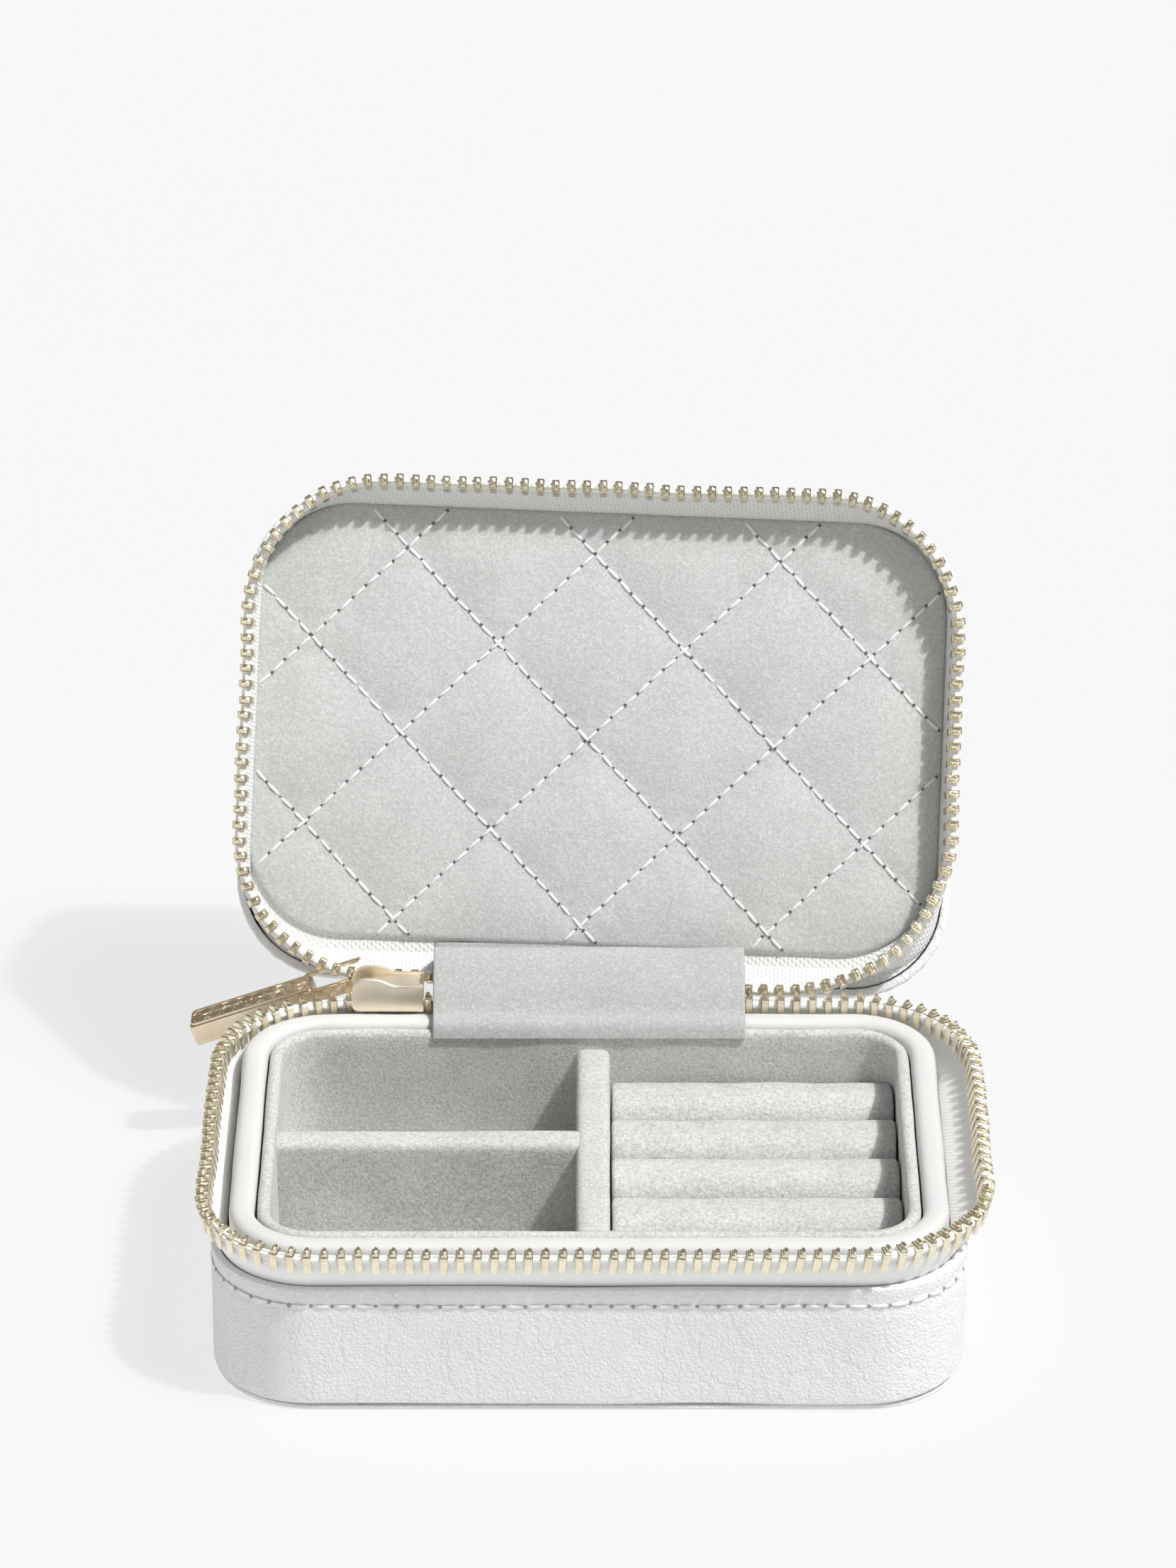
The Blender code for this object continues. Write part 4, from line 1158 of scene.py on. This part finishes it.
def makeSoftHinge():
    low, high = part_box("hinge_flap")
    padLow, padHigh = shutBox("quilted_pad")
    over = collarHigh.z + flap["above"]
    start = (low.y + flap["hem"][0], linerHigh.z + flap["hem"][1])
    bend = (low.y + flap["bend"][0], over + flap["bend"][1])
    rim = (halfDepth + flap["rim"][0], over + flap["rim"][1])
    rise = (pivot.y + flap["rise"][0], pivot.z + flap["rise"][1])
    crest = (pivot.y + flap["crest"][0], pivot.z + flap["crest"][1])
    face = openedPoint(padHigh.y + flap["face"][0], padLow.z + flap["face"][1])
    tuck = openedPoint(padHigh.y + flap["tuck"][0], padLow.z + flap["tuck"][1])
    line = smoothRun([start, bend, rim, rise, crest, face, tuck], 50)
    mesh = bentStrip("hingeFlap", line, low.x, high.x, flap, 9.0)
    # The flap takes the darker copy of the velvet, painted shade
    strip = makePiece("hingeFlap", mesh, flapVelvetPaintedShade, None, ("hinge_flap",))
    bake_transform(strip)

    low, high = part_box("spine_strip")
    middle = halfDepth - caseShape["wrap"] / 2
    foot = wallHigh.z + spineLook["foot"]
    end = openedPoint(middle, lidWallLow.z - spineLook["foot"])
    bends = [(middle + y, foot + z) for y, z in spineLook["bends"]]
    line = smoothRun([(middle, foot), *bends, end], 28)
    mesh = bentStrip("spineStrip", line, low.x, high.x, spineLook, 5.0)
    spine = makePiece("spineStrip", mesh, outerLeather, None, ("spine_strip",))
    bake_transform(spine)


makeSoftHinge()
print("soft hinge ready")


sliderLook = {"plate": 0.8 * mm, "short": 0.85 * mm, "relief": 0.28 * mm, "crest": 1.1 * mm,
              "clearance": 0.65 * mm, "half": 1.1 * mm, "swell": (0.55 * mm, 0.2 * mm),
              "wedge": (3.0 * mm, 10.5 * mm, 1.25 * mm), "post": 0.8 * mm,
              "postHead": (1.6 * mm, 0.85 * mm)}
pullLook = {"length": 28 * mm, "width": 5 * mm, "half": 1.95 * mm, "facets": 8,
            "facet": (1.3 * mm, 0.92 * mm, 0.46 * mm),
            "neck": 8 * mm, "edge": 0.45 * mm, "raise": 0.28 * mm, "border": 0.55 * mm, "eye": 1.95 * mm,
            "hole": 1.0 * mm, "eyeThick": 1.5 * mm, "droop": 19.6}


# A slider plate: a raised crest over its left part, a round left end, a flat run to the right
def sliderPlate(name, low, high, back, face, crest, swell):
    sign = 1 if face > back else -1
    stations = [low.x + (high.x - low.x) * t for t in (0, 0.01, 0.03, 0.07, 0.12, 0.18, 0.25, 0.32, 0.4,
        0.48, 0.54, 0.6, 0.66, 0.74, 0.83, 0.91, 0.96, 0.99, 1.0)]
    corners = [(-1, -1), (1, -1), (1, 1), (-1, 1)]
    profile = densified(softProfile(corners, [0.3] * 4, 5), 0.5)
    rows = []
    for across, up in profile:
        row = []
        for x in stations:
            t = (x - low.x) / (high.x - low.x)
            fall = min(1.0, max(0.0, (t - 0.34) / 0.3))
            top = high.z - crest * fall * fall * (3 - 2 * fall)
            fromLeft = x - low.x
            if fromLeft < 2.4 * mm:
                top -= 2.2 * mm * (1 - math.sqrt(max(0, 1 - (1 - fromLeft / (2.4 * mm)) ** 2)))
            lift = 0.9 * mm * (1 - math.sqrt(max(0, 1 - (1 - min(1, fromLeft / (1.2 * mm))) ** 2)))
            bottom = low.z + lift
            z = (top + bottom) / 2 + up * (top - bottom) / 2
            share = min(1, max(0, (z - bottom) / (top - bottom + 1e-9)))
            along = math.sin(math.pi * min(1, t * 0.9 + 0.05))
            belly = swell * math.sin(math.pi * share) ** 0.8 * along ** 0.6
            bulge = sign * belly if across * sign * (face - back) > 0 else 0
            y = (back + face) / 2 + across * (face - back) / 2 + bulge
            row.append((x, y, z))
        rows.append(row)
    return gridMesh(name, rows, ringAcross=True, capEnds=True)


# A round bar along Y with rounded rims; hole makes it a ring
def roundBar(name, centre, radius, start, end, edge, hole=0.0, sides=40):
    x, z = centre
    if hole:
        corners = [(hole, start), (radius, start), (radius, end), (hole, end)]
        profile = softProfile(corners, [edge] * 4, 4)
    else:
        profile = [(0.02 * mm, start), (radius - edge, start), (radius - edge * 0.3, start + edge * 0.3),
            (radius, start + edge),
                   (radius, end - edge), (radius - edge * 0.3, end - edge * 0.3), (radius - edge, end),
                   (0.02 * mm, end)]
    rows = []
    for reach, y in profile:
        rows.append([(x + reach * math.cos(a), y, z + reach * math.sin(a)) for a in np.linspace(0,
            2 * math.pi, sides, endpoint=False)])
    return gridMesh(name, rows, ringAlong=True, ringAcross=bool(hole), capSides=not hole)


def makeSlider():
    low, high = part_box("slider_body")
    high.x -= sliderLook["short"]  # room beside the flap at the end of the slide
    ringRear = baseTeethHigh.y - 1.1 * mm
    innerFace = ringRear - sliderLook["half"] - sliderLook["clearance"]
    outerFace = ringRear + sliderLook["half"] + 0.3 * mm
    plate = sliderLook["plate"]
    wedgeLeft, wedgeRight, wedgeDrop = sliderLook["wedge"]
    headRadius, headThick = sliderLook["postHead"]
    teethTop = baseTeethHigh.z
    post = joints["pull_swing"]["pos_m"]
    parts = [
        sliderPlate("innerPlate", low, high, innerFace, innerFace - plate, sliderLook["crest"],
        sliderLook["swell"][0]),
        sliderPlate("outerPlate", low, high, outerFace + sliderLook["relief"], outerFace + plate,
        sliderLook["crest"], sliderLook["swell"][1]),
        roundedBlock("wedge", (low.x + wedgeLeft, innerFace - 0.2 * mm, teethTop + 0.3 * mm),
                     (low.x + wedgeRight, outerFace + 0.2 * mm, high.z - wedgeDrop), 0.4 * mm),
        roundBar("post", (post[0], post[2]), sliderLook["post"], outerFace + plate / 2, high.y - 0.5 * mm,
        0.15 * mm, 0.0, 24),
        roundBar("postHead", (post[0], post[2]), headRadius, high.y - headThick, high.y, 0.25 * mm, 0.0,
        32),
    ]
    makePiece("zipSlider", joined("zipSlider", parts), sliderGold, "slider", ("slider_body",))


def makePull():
    droop = Matrix.Rotation(math.radians(-pullLook["droop"]), 4, "Y")
    place = Matrix.Translation(joints["pull_swing"]["pos_m"]) @ droop
    length, width, half = pullLook["length"], pullLook["width"], pullLook["half"]
    facetSize, facets = pullLook["facet"], pullLook["facets"]
    edge, border, raised = pullLook["edge"], pullLook["border"], pullLook["raise"]
    parts = [roundedBlock("bar", (-length, 0, -half), (-pullLook["neck"], width, half - raised), edge, 3)]
    # raised border round the top face
    outline = planLoop(-length + 0.25 * mm, -pullLook["neck"] - 0.25 * mm, 0.25 * mm, width - 0.25 * mm,
        [0.9 * mm] * 4)
    ring = sampleLine(outline, 97)[:-1]
    inward = -outward(ring, True)
    top = half - raised - 0.1 * mm
    profile = [(0, top), (0.1 * mm, half - 0.05 * mm), (0.2 * mm, half), (border - 0.2 * mm, half),
        (border - 0.1 * mm, half - 0.05 * mm), (border, top)]
    rows = [np.column_stack([ring + inward * inset, np.full(len(ring), height)])
            for inset, height in profile]
    parts.append(gridMesh("border", rows, ringAlong=True, ringAcross=True))
    # two rows of raised facets inside it
    pitch = (length - pullLook["neck"] - 3.8 * mm) / (facets - 0.65)
    for i in range(facets):
        for j in range(2):
            x = -length + 1.9 * mm + (i + 0.35 * j) * pitch
            y = width / 2 + (j - 0.5) * 1.75 * mm
            edit = bmesh.new()
            bmesh.ops.create_icosphere(edit, subdivisions=1, radius=1)
            turn = Matrix.Rotation(0.9 * i + 1.7 * j, 3, "Z")
            for vertex in edit.verts:
                spot = turn @ vertex.co
                centre = (x, y, half - raised - 0.05 * mm)
                vertex.co = Vector(p + c * s for p, c, s in zip(centre, spot, facetSize))
            parts.append(finishedMesh(edit, "facet"))
    parts.append(roundBar("eye", (0, 0), pullLook["eye"], 0.0, pullLook["eyeThick"], 0.3 * mm,
        pullLook["hole"]))
    parts.append(roundedBlock("neck", (-pullLook["neck"] - 1 * mm, 0.15 * mm, -1 * mm),
        (-1.7 * mm, pullLook["eyeThick"] - 0.15 * mm, 1 * mm), 0.3 * mm))
    mesh = joined("zipPull", parts)
    mesh.set_sharp_from_angle(angle=math.radians(24))
    mesh.transform(place)
    makePiece("zipPull", mesh, pullGold, "pull", ("pull_tab",))


def makeStops():
    for name, node, body in (("bottomStop", "bottom_stop", "base"),
            ("topStopBase", "top_stop_base", "base"), ("topStopLid", "top_stop_lid", "lid")):
        low, high = shutBox(node) if body == "lid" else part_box(node)
        middle = (low.z + high.z) / 2
        parts = [
            roundedBlock("crimp", low, (high.x, high.y, middle + 0.1 * mm), 0.35 * mm),
            roundedBlock("crimpTop", (low.x + 0.12 * mm, low.y + 0.12 * mm, middle - 0.2 * mm),
            (high.x - 0.12 * mm, high.y - 0.12 * mm, high.z), 0.45 * mm),
        ]
        makePiece(name, joined(name, parts), chainGold, body, (node,), body == "lid")


makeSlider()
makePull()
makeStops()
print("slider and pull ready")

# Hidden boards and foam keep their CAD shape
for node, finish in (("base_frame_board", greyBoard), ("lid_frame_board", greyBoard),
        ("pad_backing_board", greyBoard),
                     ("ring_roll_core", packingFoam), ("lid_foam_core", packingFoam)):
    nodes[node].data.materials.clear()
    nodes[node].data.materials.append(finish)


studio = {"floor": 14.0, "sun": 2.1, "sunAngle": 2.5, "soft": 1.5, "softAngle": 18.0, "horizon": 0.22,
    "zenith": 0.24, "front": 0.9, "side": 0.85, "glow": 0.74, "lens": 153.96,
          "place": (-0.00016, -0.8590, 0.5250), "tilt": 62.76}


def makeFloor():
    count = 24
    side = np.linspace(-studio["floor"] / 2, studio["floor"] / 2, count + 1)
    rows = [[(x, y, -0.00002) for x in side] for y in side]
    mesh = gridMesh("studioFloor", rows)
    material, tree, shader, place = startMaterial("paleFloor", Specular_IOR_Level=0.1,
        Emission_Color=(1, 1, 1, 1), Emission_Strength=studio["glow"])
    pile = addPile(tree, place, 2 * mm, 400 * mm)
    paper = mixColour(tree, pile["Patch"], (0.15, 0.15, 0.15, 1), (0.153, 0.153, 0.153, 1))
    finishShader(tree, shader, paper, pile["Height"], 0.0, pile["Patch"], 0.9, 0.95)
    mesh.materials.append(material)
    floor = bpy.data.objects.new("studioFloor", mesh)
    bpy.context.scene.collection.objects.link(floor)
    if mesh.polygons[0].normal.z < 0:
        mesh.flip_normals()


def makeLight():
    world = bpy.data.worlds.new("studio")
    world.use_nodes = True
    tree = world.node_tree
    background = tree.nodes["Background"]
    axes = addNode(tree, "ShaderNodeSeparateXYZ",
        {0: tree.nodes.new("ShaderNodeTexCoord").outputs["Generated"]})
    level = addNode(tree, "ShaderNodeMapRange",
        {"Value": axes.outputs["Z"], "From Min": 0.0, "From Max": 1.0,
                                                "To Min": studio["horizon"], "To Max": studio["zenith"]})
    # a bright low band in front of the case and to its left
    left = addMath(tree, "MULTIPLY", axes.outputs["X"], -studio["side"])
    ahead = addMath(tree, "ADD", addMath(tree, "MULTIPLY", axes.outputs["Y"], -studio["front"]), left, True)
    above = addMath(tree, "SUBTRACT", 1.0, axes.outputs["Z"], True)
    band = addMath(tree, "MULTIPLY", ahead, addMath(tree, "POWER", above, 3.0))
    tree.links.new(addMath(tree, "ADD", level.outputs[0], band), background.inputs["Strength"])
    background.inputs["Color"].default_value = (1, 1, 1, 1)
    bpy.context.scene.world = world
    for name, strength, spread, way in (("keySun", studio["sun"], studio["sunAngle"], (-0.52, 0.25, -1.0)),
            ("softSun", studio["soft"], studio["softAngle"], (-0.5, 0.2, -1.0))):
        sun = bpy.data.lights.new(name, "SUN")
        sun.energy = strength
        sun.angle = math.radians(spread)
        lamp = bpy.data.objects.new(name, sun)
        bpy.context.scene.collection.objects.link(lamp)
        lamp.rotation_mode = "QUATERNION"
        lamp.rotation_quaternion = Vector(way).to_track_quat("-Z", "Y")


def makeCamera():
    data = bpy.data.cameras.new("frontCamera")
    data.lens = studio["lens"]
    data.sensor_width = 36
    data.clip_start, data.clip_end = 0.05, 20
    camera = bpy.data.objects.new("frontCamera", data)
    bpy.context.scene.collection.objects.link(camera)
    camera.location = studio["place"]
    camera.rotation_euler = (math.radians(studio["tilt"]), 0, 0)
    bpy.context.scene.camera = camera


makeFloor()
makeLight()
makeCamera()
bpy.context.scene.view_settings.view_transform = "Standard"
print("studio ready")
